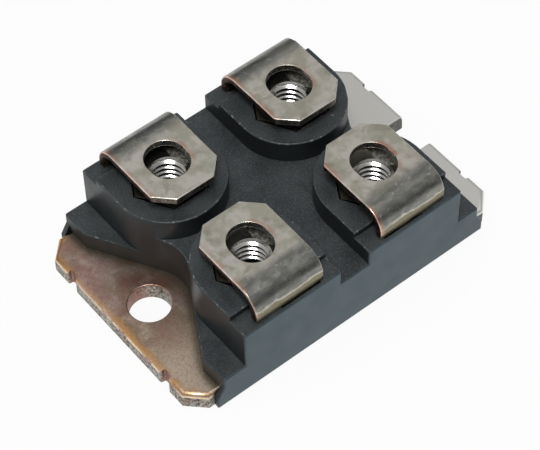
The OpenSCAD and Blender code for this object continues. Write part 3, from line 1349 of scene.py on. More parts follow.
# Settings of a smooth step and of a mix of colours
SMOOTH = {"interpolation_type": "SMOOTHSTEP"}
COLOURS = {"data_type": "RGBA"}
# Settings of sums with numbers or vectors
PLUS = {"operation": "ADD"}
MINUS = {"operation": "SUBTRACT"}
TIMES = {"operation": "MULTIPLY"}
WRAP = {"operation": "FLOORED_MODULO"}
LARGER = {"operation": "MAXIMUM"}
SMALLER = {"operation": "MINIMUM"}
SIZE = {"operation": "ABSOLUTE"}
LENGTH = {"operation": "LENGTH"}
# Numbers of a colour mix node's two colour inputs
MIX_A, MIX_B = 6, 7
# Factors that bring a place down to the plan
FLAT = (1.0, 1.0, 0.0)


def lay_coats(tree: Tree, tone: Any, *coats: tuple[Any, Any]) -> Node:
    """Lay coats of colour over a tone, one after the other.

    Args:
        tree: The material's node tree.
        tone: What lies below, as a hex colour or a node.
        coats: How far each coat covers, as a node, with its hex colour or node.

    Returns:
        The node of the last coat.
    """
    for share, coat in coats:
        below, above = (linear(shown) if isinstance(shown, str) else shown for shown in (tone, coat))
        tone = add_node(tree, MIX, {0: share, MIX_A: below, MIX_B: above}, **COLOURS)
    return tone


@dataclass(frozen=True)
class Fade:
    """Stretch of a pattern or of a place over which a mark comes in, up to its share."""

    start: float
    end: float
    share: float = 1.0
    low: float = 0.0

    def of(self, value: Any, unit: float = 1.0) -> dict[str, Any]:
        """Give the inputs of the node that spreads a value over the stretch.

        Args:
            value: The node or the socket of the pattern or the place.
            unit: What the two ends are counted in, which is MM for a place.

        Returns:
            The inputs by name.
        """
        ends = {"From Min": self.start * unit, "From Max": self.end * unit}
        return {"Value": value, **ends, "To Min": self.low, "To Max": self.share}

    def raised(self, level: float) -> Fade:
        """Give the same stretch with both its shares raised by a level."""
        return Fade(self.start, self.end, self.share + level, self.low + level)


@dataclass(frozen=True)
class Finish:
    """Plain finish of two close colours, slightly uneven in grain."""

    name: str
    colour: str
    shade: str
    roughness: float
    cloud_mm: float
    # The grain of plating, cut metal and ceramic is finer: it is drawn as coarse as it needs to show
    grain_mm: float
    relief_mm: float
    metallic: float = 1.0
    cloud_detail: float = 3.0
    clouds: Fade = Fade(0.4, 0.65)

    def make(self) -> Material:
        """Build the material.

        Returns:
            The new material.
        """
        material = bpy.data.materials.new(self.name)
        material.use_nodes = True
        tree = material.node_tree
        tree.nodes.clear()
        place = add_node(tree, "ShaderNodeTexCoord").outputs["Object"]
        surface = add_node(tree, "ShaderNodeBsdfPrincipled", self.surface(tree, place))
        add_node(tree, "ShaderNodeOutputMaterial", {"Surface": surface})
        LOG.info("finish %s, %d nodes", self.name, len(tree.nodes))
        return material

    def body(self, tree: Tree, place: Socket) -> tuple[Node, Node]:
        """Draw the body of the finish, which goes cloudily from its colour to its shade.

        Args:
            tree: The material's node tree.
            place: Where a point is on the piece.

        Returns:
            The nodes of the clouds and of the colour.
        """
        scale = per_mm(self.cloud_mm)
        cloud = add_node(tree, NOISE, {"Vector": place, "Scale": scale, "Detail": self.cloud_detail})
        share = add_node(tree, SPREAD, self.clouds.of(cloud), **SMOOTH)
        return cloud, lay_coats(tree, self.colour, (share, self.shade))

    def surface(self, tree: Tree, place: Socket) -> dict[str, Any]:
        """Draw the patterns of the finish.

        Args:
            tree: The material's node tree.
            place: Where a point is on the piece.

        Returns:
            The inputs of the surface's shader.
        """
        tone = self.body(tree, place)[1]
        grain = add_node(tree, NOISE, {"Vector": place, "Scale": per_mm(self.grain_mm), "Detail": 2.0})
        bump = add_node(tree, BUMP, {"Strength": 1.0, "Distance": self.relief_mm * MM, "Height": grain})
        return {"Base Color": tone, "Metallic": self.metallic, "Roughness": self.roughness, "Normal": bump}


@dataclass(frozen=True)
class MouldedPlastic(Finish):
    """Satin black thermoset: dusty where it lies flat, with painted shade on its walls and a painted cool
    reflection on the long ones.
    """

    cloud_detail: float = 5.0
    clouds: Fade = Fade(0.36, 0.68)
    speck: str = "#8d8f90"
    speck_mm: float = 0.9
    specks: Fade = Fade(0.7, 0.76, 0.6)
    grit: str = "#5d6163"
    grits: Fade = Fade(0.52, 0.7, 0.6)
    # Darker colour of the upright faces: painted shade
    wall: str = "#1e2021"
    painted_wall_shade: Fade = Fade(0.7, 0.2)
    # Lighter blue grey of the long outer walls: a painted reflection of the pale floor
    painted_cool_reflection: str = "#384950"
    long_wall: Fade = Fade(12.5, 12.64)
    sheen: Fade = Fade(0.3, 0.7, 0.08, -0.06)
    gloss: float = 0.42
    tint: str = "#e0eff6"

    def surface(self, tree: Tree, place: Socket) -> dict[str, Any]:
        """Draw the cloudy body and its dust, the walls clean of dust and darkened as painted shade, and a
        painted cool reflection on the long walls.

        Args:
            tree: The material's node tree.
            place: Where a point is on the piece.

        Returns:
            The inputs of the surface's shader.
        """
        node = partial(add_node, tree)
        cloud, tone = self.body(tree, place)
        scale = per_mm(self.speck_mm)
        fleck = node(NOISE, {"Vector": place, "Scale": scale, "Detail": 4.0, "Roughness": 0.6})
        dusty = node(SPREAD, self.specks.of(fleck), **SMOOTH)
        grain = node(NOISE, {"Vector": place, "Scale": per_mm(self.grain_mm), "Detail": 2.0})
        gritty = node(SPREAD, self.grits.of(grain), **SMOOTH)
        normal = node("ShaderNodeNewGeometry").outputs["Normal"]
        rise = node(SPLIT, {"Vector": normal}).outputs["Z"]
        # Upright faces take the darker wall colour as painted shade, clean of dust
        painted_wall_shade = node(SPREAD, self.painted_wall_shade.of(rise), **SMOOTH)
        # The long outer walls take the blue grey as a painted reflection
        across = node(SPLIT, {"Vector": place}).outputs["Y"]
        outward = node(MATH, {0: across}, **SIZE)
        cool_reflection_share = node(SPREAD, self.long_wall.of(outward, MM), **SMOOTH)
        coats = ((dusty, self.speck), (gritty, self.grit), (painted_wall_shade, self.wall), (cool_reflection_share, self.painted_cool_reflection))
        return {
            "Base Color": lay_coats(tree, tone, *coats),
            "Metallic": self.metallic,
            "Roughness": node(SPREAD, self.sheen.raised(self.roughness).of(cloud)),
            "Specular IOR Level": self.gloss,
            "Specular Tint": linear(self.tint),
            "Normal": node(BUMP, {"Strength": 1.0, "Distance": self.relief_mm * MM, "Height": grain}),
        }


@dataclass(frozen=True)
class ShearedMetal(Finish):
    """Torn wall of a punched sheet: dull, with pale and dark flecks."""

    pit: str = "#2e2824"
    pits: Fade = Fade(0.5, 0.38, 0.9)
    fleck: str = "#cfc9c0"
    flecks: Fade = Fade(0.55, 0.64, 0.8)
    grain_run: float = 1.5

    def surface(self, tree: Tree, place: Socket) -> dict[str, Any]:
        """Draw the cloudy wall with its flecks and pits.

        Args:
            tree: The material's node tree.
            place: Where a point is on the piece.

        Returns:
            The inputs of the surface's shader.
        """
        node = partial(add_node, tree)
        tone = self.body(tree, place)[1]
        drawn = node(MAPPING, {"Vector": place, "Scale": (1.0, 1.0, 1 / self.grain_run)})
        scale = per_mm(self.grain_mm)
        torn = node(NOISE, {"Vector": drawn, "Scale": scale, "Detail": 4.0, "Roughness": 0.65})
        dark = node(SPREAD, self.pits.of(torn), **SMOOTH)
        pale = node(SPREAD, self.flecks.of(torn), **SMOOTH)
        return {
            "Base Color": lay_coats(tree, tone, (dark, self.pit), (pale, self.fleck)),
            "Metallic": self.metallic,
            "Roughness": self.roughness,
            "Normal": node(BUMP, {"Strength": 1.0, "Distance": self.relief_mm * MM, "Height": torn}),
        }


@dataclass(frozen=True)
class PunchedHole(ShearedMetal):
    """Wall of a strap's hole, burred along its lower rim, where a pale painted highlight runs."""

    # Pale colour of the burred lower rim: a painted highlight
    burr_and_highlight: str = "#d8d3ca"
    low_rim: Fade = Fade(11.34, 11.27)

    def surface(self, tree: Tree, place: Socket) -> dict[str, Any]:
        """Draw the torn metal with the painted highlight of its burred rim over it.

        Args:
            tree: The material's node tree.
            place: Where a point is on the piece.

        Returns:
            The inputs of the surface's shader.
        """
        inputs = super().surface(tree, place)
        height = add_node(tree, SPLIT, {"Vector": place}).outputs["Z"]
        # A pale line along the lower rim: a painted highlight
        low = add_node(tree, SPREAD, self.low_rim.of(height, MM), **SMOOTH)
        return {**inputs, "Base Color": lay_coats(tree, inputs["Base Color"], (low, self.burr_and_highlight))}


@dataclass(frozen=True)
class PlateWall(ShearedMetal):
    """Sheared wall of the plate, stained brown round its hole and greyer at its slotted end."""

    stain: str = "#94685c"
    sunk: Fade = Fade(-19.0, -18.75)
    outer: Fade = Fade(-13.4, -15.0, 0.75)
    inner: Fade = Fade(10.2, 9.5)
    grey: str = "#585a55"
    slotted_end: Fade = Fade(-5.0, 5.0, 0.8)

    def surface(self, tree: Tree, place: Socket) -> dict[str, Any]:
        """Draw the torn metal with the stain and the grey over it.

        Args:
            tree: The material's node tree.
            place: Where a point is on the piece.

        Returns:
            The inputs of the surface's shader.
        """
        node = partial(add_node, tree)
        inputs = super().surface(tree, place)
        spot = node(SPLIT, {"Vector": place}).outputs
        across = node(MATH, {0: spot["Y"]}, **SIZE)
        # The stain keeps to the notches and the hole, clear of the end face and the cut corners
        stained = node(SPREAD, self.sunk.of(spot["X"], MM), **SMOOTH)
        for limit in (self.outer.of(spot["X"], MM), self.inner.of(across, MM)):
            stained = node(MATH, {0: stained, 1: node(SPREAD, limit, **SMOOTH)}, **TIMES)
        greyed = node(SPREAD, self.slotted_end.of(spot["X"], MM), **SMOOTH)
        coats = ((stained, self.stain), (greyed, self.grey))
        return {**inputs, "Base Color": lay_coats(tree, inputs["Base Color"], *coats)}


@dataclass(frozen=True)
class TerminalSteel(Finish):
    """Plated steel painted dark as shade, in its brighter mottled colour round the bore of each nut."""

    bright: str = "#b4b2a8"
    pit: str = "#77756d"
    mottle_mm: float = 0.3
    mottles: Fade = Fade(0.4, 0.6)
    screw_x: float = 7.5
    screw_y: float = 6.35
    ring: Fade = Fade(3.5, 2.7)

    def surface(self, tree: Tree, place: Socket) -> dict[str, Any]:
        """Draw the steel painted dark as shade, with its mottled brighter ring round the bore.

        Args:
            tree: The material's node tree.
            place: Where a point is on the piece.

        Returns:
            The inputs of the surface's shader.
        """
        node = partial(add_node, tree)
        inputs = super().surface(tree, place)
        spot = node(VECTOR, {0: place}, **SIZE)
        screw = (self.screw_x * MM, self.screw_y * MM, 0.0)
        centred = node(VECTOR, {0: spot, 1: screw}, **MINUS)
        flat = node(VECTOR, {0: centred, 1: FLAT}, **TIMES)
        ring = node(SPREAD, self.ring.of(node(VECTOR, {0: flat}, **LENGTH), MM), **SMOOTH)
        mottle = node(NOISE, {"Vector": place, "Scale": per_mm(self.mottle_mm), "Detail": 3.0})
        patchy = node(SPREAD, self.mottles.of(mottle), **SMOOTH)
        # Ring round the bore in the steel's own brighter, mottled colour; the dark body elsewhere is painted
        # shade
        rubbed = lay_coats(tree, self.pit, (patchy, self.bright))
        return {**inputs, "Base Color": lay_coats(tree, inputs["Base Color"], (ring, rubbed))}


@dataclass(frozen=True)
class PlatedCopper(Finish):
    """Satin nickel over copper: olive stains, painted shade low on the fold, a painted dark reflection
    streaked along it, chips, scratches and worn copper.
    """

    cloud_detail: float = 6.0
    clouds: Fade = Fade(0.38, 0.64)
    sheen: Fade = Fade(0.35, 0.7, 0.1, -0.05)
    stain: str = "#847e69"
    stain_mm: float = 1.8
    stains: Fade = Fade(0.48, 0.74, 0.5)
    # Below this lip the stain colour covers the fold and the leg fully: painted shade
    lip: Fade = Fade(10.35, 10.05)
    ragged: float = 0.9
    # Streaked dark band along the fold: a painted reflection
    painted_fold_reflection: str = "#7b7c78"
    fold: Fade = Fade(8.4, 10.2)
    above_lip: Fade = Fade(10.2, 10.45)
    streak_mm: float = 0.45
    streak_run: float = 2.5
    streaks: Fade = Fade(0.35, 0.62, low=0.78)
    bright: str = "#f3efe8"
    chips: Fade = Fade(0.6, 0.7, 0.75)
    clusters: Fade = Fade(0.46, 0.56)
    chip_reach: Fade = Fade(8.9, 9.5)
    chip_height: Fade = Fade(10.9, 11.2)
    # Real scratches are finer: they are drawn this wide so that they show
    scratch_mm: float = 0.16
    scratch_run: float = 16.0
    scratch_turn: float = 35.0
    scratches: Fade = Fade(0.72, 0.8, 0.5)
    copper: str = "#c6937f"
    pitch: float = 15.0
    side: float = 3.5
    bleed: Fade = Fade(0.6, 0.0, 0.9)
    screw_y: float = 6.35
    hole_run: float = 0.3
    rim: Fade = Fade(2.65, 2.2375)
    rim_side: Fade = Fade(1.05, 2.1)
    breaks: Fade = Fade(0.35, 0.6)

    def surface(self, tree: Tree, place: Socket) -> dict[str, Any]:
        """Draw stains, painted shade below the lip, the painted dark reflection on the fold, chips, scratches
        and bare copper.

        Args:
            tree: The material's node tree.
            place: Where a point is on the piece.

        Returns:
            The inputs of the surface's shader.
        """
        node = partial(add_node, tree)
        cloud, tone = self.body(tree, place)
        scale = per_mm(self.stain_mm)
        blotch = node(NOISE, {"Vector": place, "Scale": scale, "Detail": 4.0, "Distortion": 0.6})
        spot = node(SPLIT, {"Vector": place}).outputs
        outward = node(MATH, {0: spot["Y"]}, **SIZE)
        waver = Fade(0.0, 1.0, self.ragged / 2 * MM, -self.ragged / 2 * MM)
        shift = node(SPREAD, waver.of(blotch))
        level = node(MATH, {0: spot["Z"], 1: shift}, **PLUS)
        reach = node(MATH, {0: outward, 1: shift}, **PLUS)
        patchy = node(SPREAD, self.stains.of(blotch), **SMOOTH)
        # Below the lip the stain colour is laid fully, as painted shade over the olive stains
        lip = node(SPREAD, self.lip.of(level, MM), **SMOOTH)
        stained = node(MATH, {0: patchy, 1: lip}, **LARGER)

        drawn = node(MAPPING, {"Vector": place, "Scale": (1 / self.streak_run, 1.0, 1.0)})
        streak = node(NOISE, {"Vector": drawn, "Scale": per_mm(self.streak_mm), "Detail": 3.0})
        # The painted dark reflection along the fold, above the lip, broken into streaks
        fold_reflection_share = node(SPREAD, self.fold.of(reach, MM), **SMOOTH)
        for limit in (self.above_lip.of(level, MM), self.streaks.of(streak)):
            fold_reflection_share = node(MATH, {0: fold_reflection_share, 1: node(SPREAD, limit, **SMOOTH)}, **TIMES)

        grit = {"Scale": per_mm(self.grain_mm), "Detail": 4.0, "Roughness": 0.65, "Distortion": 0.3}
        fine = node(NOISE, {"Vector": place, **grit})
        chipped = node(SPREAD, self.chips.of(fine), **SMOOTH)
        clustered = node(SPREAD, self.clusters.of(blotch), **SMOOTH)
        by_fold = node(SPREAD, self.chip_reach.of(outward, MM))
        on_top = node(SPREAD, self.chip_height.of(spot["Z"], MM))
        for limit in (clustered, by_fold, on_top):
            chipped = node(MATH, {0: chipped, 1: limit}, **TIMES)
        turn = {"Rotation": (0.0, 0.0, math.radians(self.scratch_turn))}
        turned = node(MAPPING, {"Vector": place, **turn, "Scale": (1.0, 1 / self.scratch_run, 1.0)})
        line = node(NOISE, {"Vector": turned, "Scale": per_mm(self.scratch_mm), "Detail": 1.0})
        scratched = node(SPREAD, self.scratches.of(line), **SMOOTH)
        marked = node(MATH, {0: chipped, 1: scratched}, **LARGER)

        broken = node(SPREAD, self.breaks.of(blotch), **SMOOTH)
        bare = node(MATH, {0: self.worn_places(tree, spot["X"], outward), 1: broken}, **TIMES)
        coats = ((stained, self.stain), (fold_reflection_share, self.painted_fold_reflection), (marked, self.bright), (bare, self.copper))
        uneven = node(MATH, {0: fine, 1: line}, **PLUS)
        return {
            "Base Color": lay_coats(tree, tone, *coats),
            "Metallic": self.metallic,
            "Roughness": node(SPREAD, self.sheen.raised(self.roughness).of(cloud)),
            "Normal": node(BUMP, {"Strength": 1.0, "Distance": self.relief_mm * MM, "Height": uneven}),
        }

    def worn_places(self, tree: Tree, along: Socket, outward: Node) -> Node:
        """Find where copper shows: along one side of each strap and on one side of its hole.

        Args:
            tree: The material's node tree.
            along: Where a point is along the module.
            outward: How far it is from the middle of the module, across it.

        Returns:
            The node of how bare a point is.
        """
        node = partial(add_node, tree)
        shifted = node(MATH, {0: along, 1: self.side * MM}, **MINUS)
        from_side = node(MATH, {0: shifted, 1: self.pitch * MM}, **WRAP)
        edge = node(SPREAD, self.bleed.of(from_side, MM))
        wrapped = node(MATH, {0: along, 1: self.pitch * MM}, **WRAP)
        from_x = node(MATH, {0: wrapped, 1: self.pitch / 2 * MM}, **MINUS)
        past_y = node(MATH, {0: outward, 1: self.screw_y * MM}, **MINUS)
        from_y = node(MATH, {0: past_y}, **SIZE)
        beyond = node(MATH, {0: from_y, 1: self.hole_run * MM}, **MINUS)
        off = node(MATH, {0: beyond, 1: 0.0}, **LARGER)
        arm = node("ShaderNodeCombineXYZ", {"X": from_x, "Y": off})
        rim = node(SPREAD, self.rim.of(node(VECTOR, {0: arm}, **LENGTH), MM), **SMOOTH)
        one_side = node(SPREAD, self.rim_side.of(from_x, MM))
        rubbed = node(MATH, {0: rim, 1: one_side}, **TIMES)
        return node(MATH, {0: edge, 1: rubbed}, **LARGER)


@dataclass(frozen=True)
class TarnishedPlate(Finish):
    """Tarnished nickel over copper: brown at one end, darker olive along the case, lighter towards -Y as
    painted light, pale at the other end, gold on the roll.
    """

    cloud_detail: float = 5.0
    clouds: Fade = Fade(0.36, 0.66)
    pink: str = "#b0857c"
    pink_mm: float = 1.4
    flush: Fade = Fade(0.42, 0.72, 0.75)
    beige: str = "#dcc9b4"
    fading: Fade = Fade(0.46, 0.28, 0.8)
    # Towards -Y the top turns lighter beige: painted light
    painted_light_side: Fade = Fade(-3.0, -8.0, 0.9)
    rust: str = "#94604f"
    hole_x: float = -15.1
    rust_ring: Fade = Fade(4.8, 2.6, 0.75)
    rust_side: Fade = Fade(-3.0, 3.0)
    rust_spread: Fade = Fade(0.35, 0.6)
    # Olive laid where the plate meets the case, by an occlusion mask
    olive_near_case: str = "#6f6752"
    occlusion_mm: float = 1.1
    occlusion_samples: int = 8
    occlusion_fade: Fade = Fade(0.95, 0.6, 0.7)
    scratch: str = "#e9e2d6"
    # Real scratches are finer: they are drawn this wide so that they show
    scratch_mm: float = 0.14
    scratch_run: float = 14.0
    scratch_turn: float = -38.0
    scratches: Fade = Fade(0.73, 0.8, 0.6)
    pale: str = "#e2e1dc"
    pale_end: Fade = Fade(-14.0, 6.0)
    pale_roughness: float = 0.5
    gold: str = "#cfa06b"
    end_x: float = 19.05
    corner_sum: float = 29.25
    roll: Fade = Fade(0.95, 0.3)
    roll_ragged: float = 1.1
    roll_age: Fade = Fade(0.0, 0.6, 0.0, 0.9)
    roll_breaks: Fade = Fade(0.38, 0.6, low=0.5)
    purple: str = "#8e626a"
    glint: str = "#fae4c4"
    glints: Fade = Fade(0.36, 0.47)
    low_roll: Fade = Fade(0.6, 0.35)
    speck: str = "#6b574c"
    specks: Fade = Fade(0.55, 0.35, 0.3)
    speck_age: Fade = Fade(0.0, 0.6, 0.1, 1.0)

    def surface(self, tree: Tree, place: Socket) -> dict[str, Any]:
        """Draw tarnish, painted light towards -Y, olive darkening along the case, scratches, the pale end,
        the coloured roll and specks.

        Args:
            tree: The material's node tree.
            place: Where a point is on the piece.

        Returns:
            The inputs of the surface's shader.
        """
        node = partial(add_node, tree)
        cloud, tone = self.body(tree, place)
        scale = per_mm(self.pink_mm)
        blotch = node(NOISE, {"Vector": place, "Scale": scale, "Detail": 4.0, "Distortion": 0.3})
        spot = node(SPLIT, {"Vector": place}).outputs
        flushed = node(SPREAD, self.flush.of(blotch), **SMOOTH)
        faded = node(SPREAD, self.fading.of(blotch), **SMOOTH)
        # Lighter beige towards -Y is painted light, over the real beige patches
        lit_side = node(SPREAD, self.painted_light_side.of(spot["Y"], MM), **SMOOTH)
        light = node(MATH, {0: faded, 1: lit_side}, **LARGER)

        centred = node(MAPPING, {"Vector": place, "Location": (-self.hole_x * MM, 0.0, 0.0)})
        flat = node(VECTOR, {0: centred, 1: FLAT}, **TIMES)
        rusty = node(SPREAD, self.rust_ring.of(node(VECTOR, {0: flat}, **LENGTH), MM), **SMOOTH)
        upper = node(SPREAD, self.rust_side.of(spot["Y"], MM))
        uneven = node(SPREAD, self.rust_spread.of(cloud), **SMOOTH)
        for limit in (upper, uneven):
            rusty = node(MATH, {0: rusty, 1: limit}, **TIMES)

        normal = node("ShaderNodeNewGeometry").outputs["True Normal"]
        # Occlusion near the case lays the olive colour along it
        corner = {"Distance": self.occlusion_mm * MM, "Normal": normal}
        contact = node("ShaderNodeAmbientOcclusion", corner, samples=self.occlusion_samples).outputs["AO"]
        olive_near_case_share = node(SPREAD, self.occlusion_fade.of(contact), **SMOOTH)
        turn = {"Rotation": (0.0, 0.0, math.radians(self.scratch_turn))}
        turned = node(MAPPING, {"Vector": place, **turn, "Scale": (1.0, 1 / self.scratch_run, 1.0)})
        line = node(NOISE, {"Vector": turned, "Scale": per_mm(self.scratch_mm), "Distortion": 0.4})
        scratched = node(SPREAD, self.scratches.of(line), **SMOOTH)
        clean = node(SPREAD, self.pale_end.of(spot["X"], MM), **SMOOTH)

        rolled = self.on_roll(tree, spot, blotch)
        old = node(SPREAD, self.roll_age.of(clean))
        broken = node(SPREAD, self.roll_breaks.of(cloud), **SMOOTH)
        for limit in (old, broken):
            rolled = node(MATH, {0: rolled, 1: limit}, **TIMES)
        fine = node(NOISE, {"Vector": place, "Scale": per_mm(self.grain_mm), "Detail": 3.0})
        specked = node(SPREAD, self.specks.of(fine), **SMOOTH)
        specked = node(MATH, {0: specked, 1: node(SPREAD, self.speck_age.of(clean))}, **TIMES)
        coats = (
            (flushed, self.pink),
            (light, self.beige),
            (rusty, self.rust),
            (olive_near_case_share, self.olive_near_case),
            (scratched, self.scratch),
            (clean, self.pale),
            (rolled, self.roll_colour(tree, normal, blotch)),
            (specked, self.speck),
        )
        sheen = Fade(0.0, 1.0, self.pale_roughness, self.roughness)
        return {
            "Base Color": lay_coats(tree, tone, *coats),
            "Metallic": self.metallic,
            "Roughness": node(SPREAD, sheen.of(clean)),
            "Normal": node(BUMP, {"Strength": 1.0, "Distance": self.relief_mm * MM, "Height": fine}),
        }

    def on_roll(self, tree: Tree, spot: Mapping[str, Socket], blotch: Node) -> Node:
        """Find the rolled edge, raggedly, from the nearer of the end and the cut corner.

        Args:
            tree: The material's node tree.
            spot: Where a point is along each axis.
            blotch: The pattern that makes the edge ragged.

        Returns:
            The node of how far a point is on the roll.
        """
        node = partial(add_node, tree)
        abs_x = node(MATH, {0: spot["X"]}, **SIZE)
        abs_y = node(MATH, {0: spot["Y"]}, **SIZE)
        to_end = node(MATH, {0: self.end_x * MM, 1: abs_x}, **MINUS)
        both = node(MATH, {0: abs_x, 1: abs_y}, **PLUS)
        short = node(MATH, {0: self.corner_sum * MM, 1: both}, **MINUS)
        to_corner = node(MATH, {0: short, 1: math.sqrt(0.5)}, **TIMES)
        to_rim = node(MATH, {0: to_end, 1: to_corner}, **SMALLER)
        waver = Fade(0.0, 1.0, self.roll_ragged / 2 * MM, -self.roll_ragged / 2 * MM)
        ragged = node(MATH, {0: to_rim, 1: node(SPREAD, waver.of(blotch))}, **PLUS)
        return node(SPREAD, self.roll.of(ragged, MM), **SMOOTH)

    def roll_colour(self, tree: Tree, normal: Socket, blotch: Node) -> Node:
        """Draw the colour of the roll: gold above, purple with glints below.

        Args:
            tree: The material's node tree.
            normal: Which way a point faces.
            blotch: The pattern of the glints.

        Returns:
            The node of the colour.
        """
        node = partial(add_node, tree)
        rise = node(SPLIT, {"Vector": normal}).outputs["Z"]
        level = node(MATH, {0: rise}, **SIZE)
        under = node(SPREAD, self.low_roll.of(level), **SMOOTH)
        shine = node(SPREAD, self.glints.of(blotch), **SMOOTH)
        lower = lay_coats(tree, self.purple, (shine, self.glint))
        return lay_coats(tree, self.gold, (under, lower))


class Hidden(Enum):
    """Finishes of what is sealed inside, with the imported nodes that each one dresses."""

    # Solder: dull silver grey with a soft lustre
    SOLDER = (
        Finish(
            "soft_solder",
            "#a9a8a4",
            "#8c8b88",
            roughness=0.35,
            cloud_mm=1.2,
            grain_mm=0.2,
            relief_mm=0.004,
        ),
        ("base_solder", "foot_solder", "chip_solder_1", "chip_solder_2"),
    )
    # Copper: warm red brown, matt from etching
    COPPER = (
        Finish(
            "etched_copper",
            "#c07a56",
            "#a8643f",
            roughness=0.38,
            cloud_mm=1.5,
            grain_mm=0.1,
            relief_mm=0.002,
        ),
        ("back_copper", "cathode_pad_1", "anode_pad_1", "cathode_pad_2", "anode_pad_2"),
    )
    # Alumina: dense white ceramic, slightly cream
    CERAMIC = (
        Finish(
            "fired_alumina",
            "#ebe7dd",
            "#dfdacd",
            metallic=0.0,
            roughness=0.55,
            cloud_mm=2.0,
            grain_mm=0.08,
            relief_mm=0.002,
        ),
        ("ceramic",),
    )
    # Silicon: dark, mirror-like blue grey
    CHIP = (
        Finish(
            "polished_silicon",
            "#565b66",
            "#4a4e58",
            roughness=0.12,
            cloud_mm=1.5,
            grain_mm=0.3,
            relief_mm=0.0005,
        ),
        ("diode_chip_1", "diode_chip_2"),
    )
    # Aluminium wire: bright silver with fine drawing marks
    WIRE = (
        Finish(
            "drawn_aluminium",
            "#d5d6d8",
            "#c4c5c7",
            roughness=0.22,
            cloud_mm=0.8,
            grain_mm=0.06,
            relief_mm=0.001,
        ),
        ("bond_wires_1", "bond_wires_2"),
    )
    # Gel: milky and water-clear, a little yellow
    GEL = (
        Finish(
            "soft_silicone",
            "#dcd9cc",
            "#d2cfc0",
            metallic=0.0,
            roughness=0.2,
            cloud_mm=3.0,
            grain_mm=0.5,
            relief_mm=0.001,
        ),
        ("silicone_gel",),
    )

    @property
    def finish(self) -> Finish:
        """The finish itself."""
        return self.value[0]

    @property
    def nodes(self) -> tuple[str, ...]:
        """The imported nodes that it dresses."""
        return self.value[1]


# Moulded thermoset: satin black, cool grey where it mirrors the light
PLASTIC = MouldedPlastic(
    "black_thermoset",
    "#2c2f30",
    "#3a3d3e",
    metallic=0.0,
    roughness=0.38,
    cloud_mm=2.6,
    grain_mm=0.12,
    relief_mm=0.004,
)
# The same along handled rims: dotted with pale wear
RUBBED_PLASTIC = replace(
    PLASTIC,
    name="rubbed_black_thermoset",
    colour="#313334",
    shade="#414445",
    roughness=0.42,
    cloud_mm=0.8,
    grain_mm=0.1,
    speck_mm=0.6,
    specks=Fade(0.56, 0.62, 0.6),
)
# Nickel over copper: satin grey, a little green, with olive stains
STRAP_METAL = PlatedCopper(
    "nickel_plated_copper",
    "#e0dbd1",
    "#c0bcad",
    roughness=0.3,
    cloud_mm=1.6,
    grain_mm=0.34,
    relief_mm=0.003,
)
# Punched wall of the strap: dull red brown copper, darkened in patches as a painted reflection of the black
# case
STRAP_SIDE = ShearedMetal(
    "sheared_copper",
    "#573a30",
    "#2e2a25",
    roughness=0.5,
    cloud_mm=0.9,
    grain_mm=0.26,
    relief_mm=0.01,
    fleck="#80604f",
    pit="#1a1614",
)
# Edge of the strap where the plating is rubbed: bright, a little pink
STRAP_EDGE = PlatedCopper(
    "rubbed_nickel_edge",
    "#e6e1da",
    "#d0cac0",
    roughness=0.34,
    cloud_mm=0.9,
    grain_mm=0.34,
    relief_mm=0.002,
    # Painted dark reflection of the fold, paler on the edges
    painted_fold_reflection="#a5a098",
    copper="#e4c2b3",
)
# Punched walls of the screw hole and of the inner end: dull grey, plated over and scored
STRAP_HOLE = PunchedHole(
    "punched_nickel",
    "#85817a",
    "#625e58",
    roughness=0.42,
    cloud_mm=0.9,
    grain_mm=0.26,
    relief_mm=0.006,
    fleck="#a39e96",
    pit="#45413c",
)
# Tarnished nickel over copper: brown with pink and olive patches, pale grey where it is clean
PLATE_METAL = TarnishedPlate(
    "tarnished_nickel_plate",
    "#cab0a6",
    "#ac9b86",
    roughness=0.36,
    cloud_mm=3.2,
    grain_mm=0.16,
    relief_mm=0.003,
)
# Sheared wall of the plate: dull grey and pinkish brown, torn and flecked
PLATE_SIDE = PlateWall(
    "sheared_plate",
    "#9f9a91",
    "#92847a",
    roughness=0.5,
    cloud_mm=1.6,
    grain_mm=0.26,
    relief_mm=0.012,
)
# Plated steel: dark olive grey as painted shade under the strap, mottled brighter round the bore
NUT_METAL = TerminalSteel(
    "shade_darkened_plated_steel",
    "#36342d",
    "#272620",
    roughness=0.55,
    cloud_mm=1.2,
    grain_mm=0.15,
    relief_mm=0.003,
)
# Freshly cut steel: bright grey
THREAD_METAL = Finish(
    "cut_steel",
    "#c9c7c3",
    "#b4b2ad",
    roughness=0.2,
    cloud_mm=1.5,
    grain_mm=0.15,
    relief_mm=0.001,
)


@dataclass(frozen=True)
class Corner:
    """One terminal of the module and the corner that it is at."""

    label: str
    side_x: int
    side_y: int

    @property
    def node(self) -> str:
        """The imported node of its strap."""
        kind, number = self.label.split("_")
        return f"{kind}_terminal_{number}"


CORNERS = (
    Corner("cathode_1", -1, -1),
    Corner("anode_1", -1, 1),
    Corner("cathode_2", 1, -1),
    Corner("anode_2", 1, 1),
)


def copy_piece(pattern: Piece) -> Piece:
    """Copy a modelled piece with a mesh of its own."""
    select_only(pattern)
    bpy.ops.object.duplicate(linked=False)
    return bpy.context.object


def place_straps(shape: Strap, materials: Sequence[Material]) -> None:
    """Model the strap once and bring a copy to each corner.

    Args:
        shape: The strap.
        materials: Those of its faces, its punched sides, its edges, and the walls of its hole and its
            inner end.
    """
    pattern = shape.build(materials)
    for corner in CORNERS:
        piece = copy_piece(pattern)
        bpy.ops.transform.resize(
            value=(corner.side_x, corner.side_y, 1.0), center_override=(0.0, 0.0, 0.0)
        )
        bpy.ops.object.transform_apply(location=True, rotation=True, scale=True)
        if corner.side_x * corner.side_y < 0:
            with editing(piece):
                face_outwards()
        finish_piece(piece, f"strap_{corner.label}")
        hand_over(piece, "strap_metal", corner.node)
    bpy.data.objects.remove(pattern)


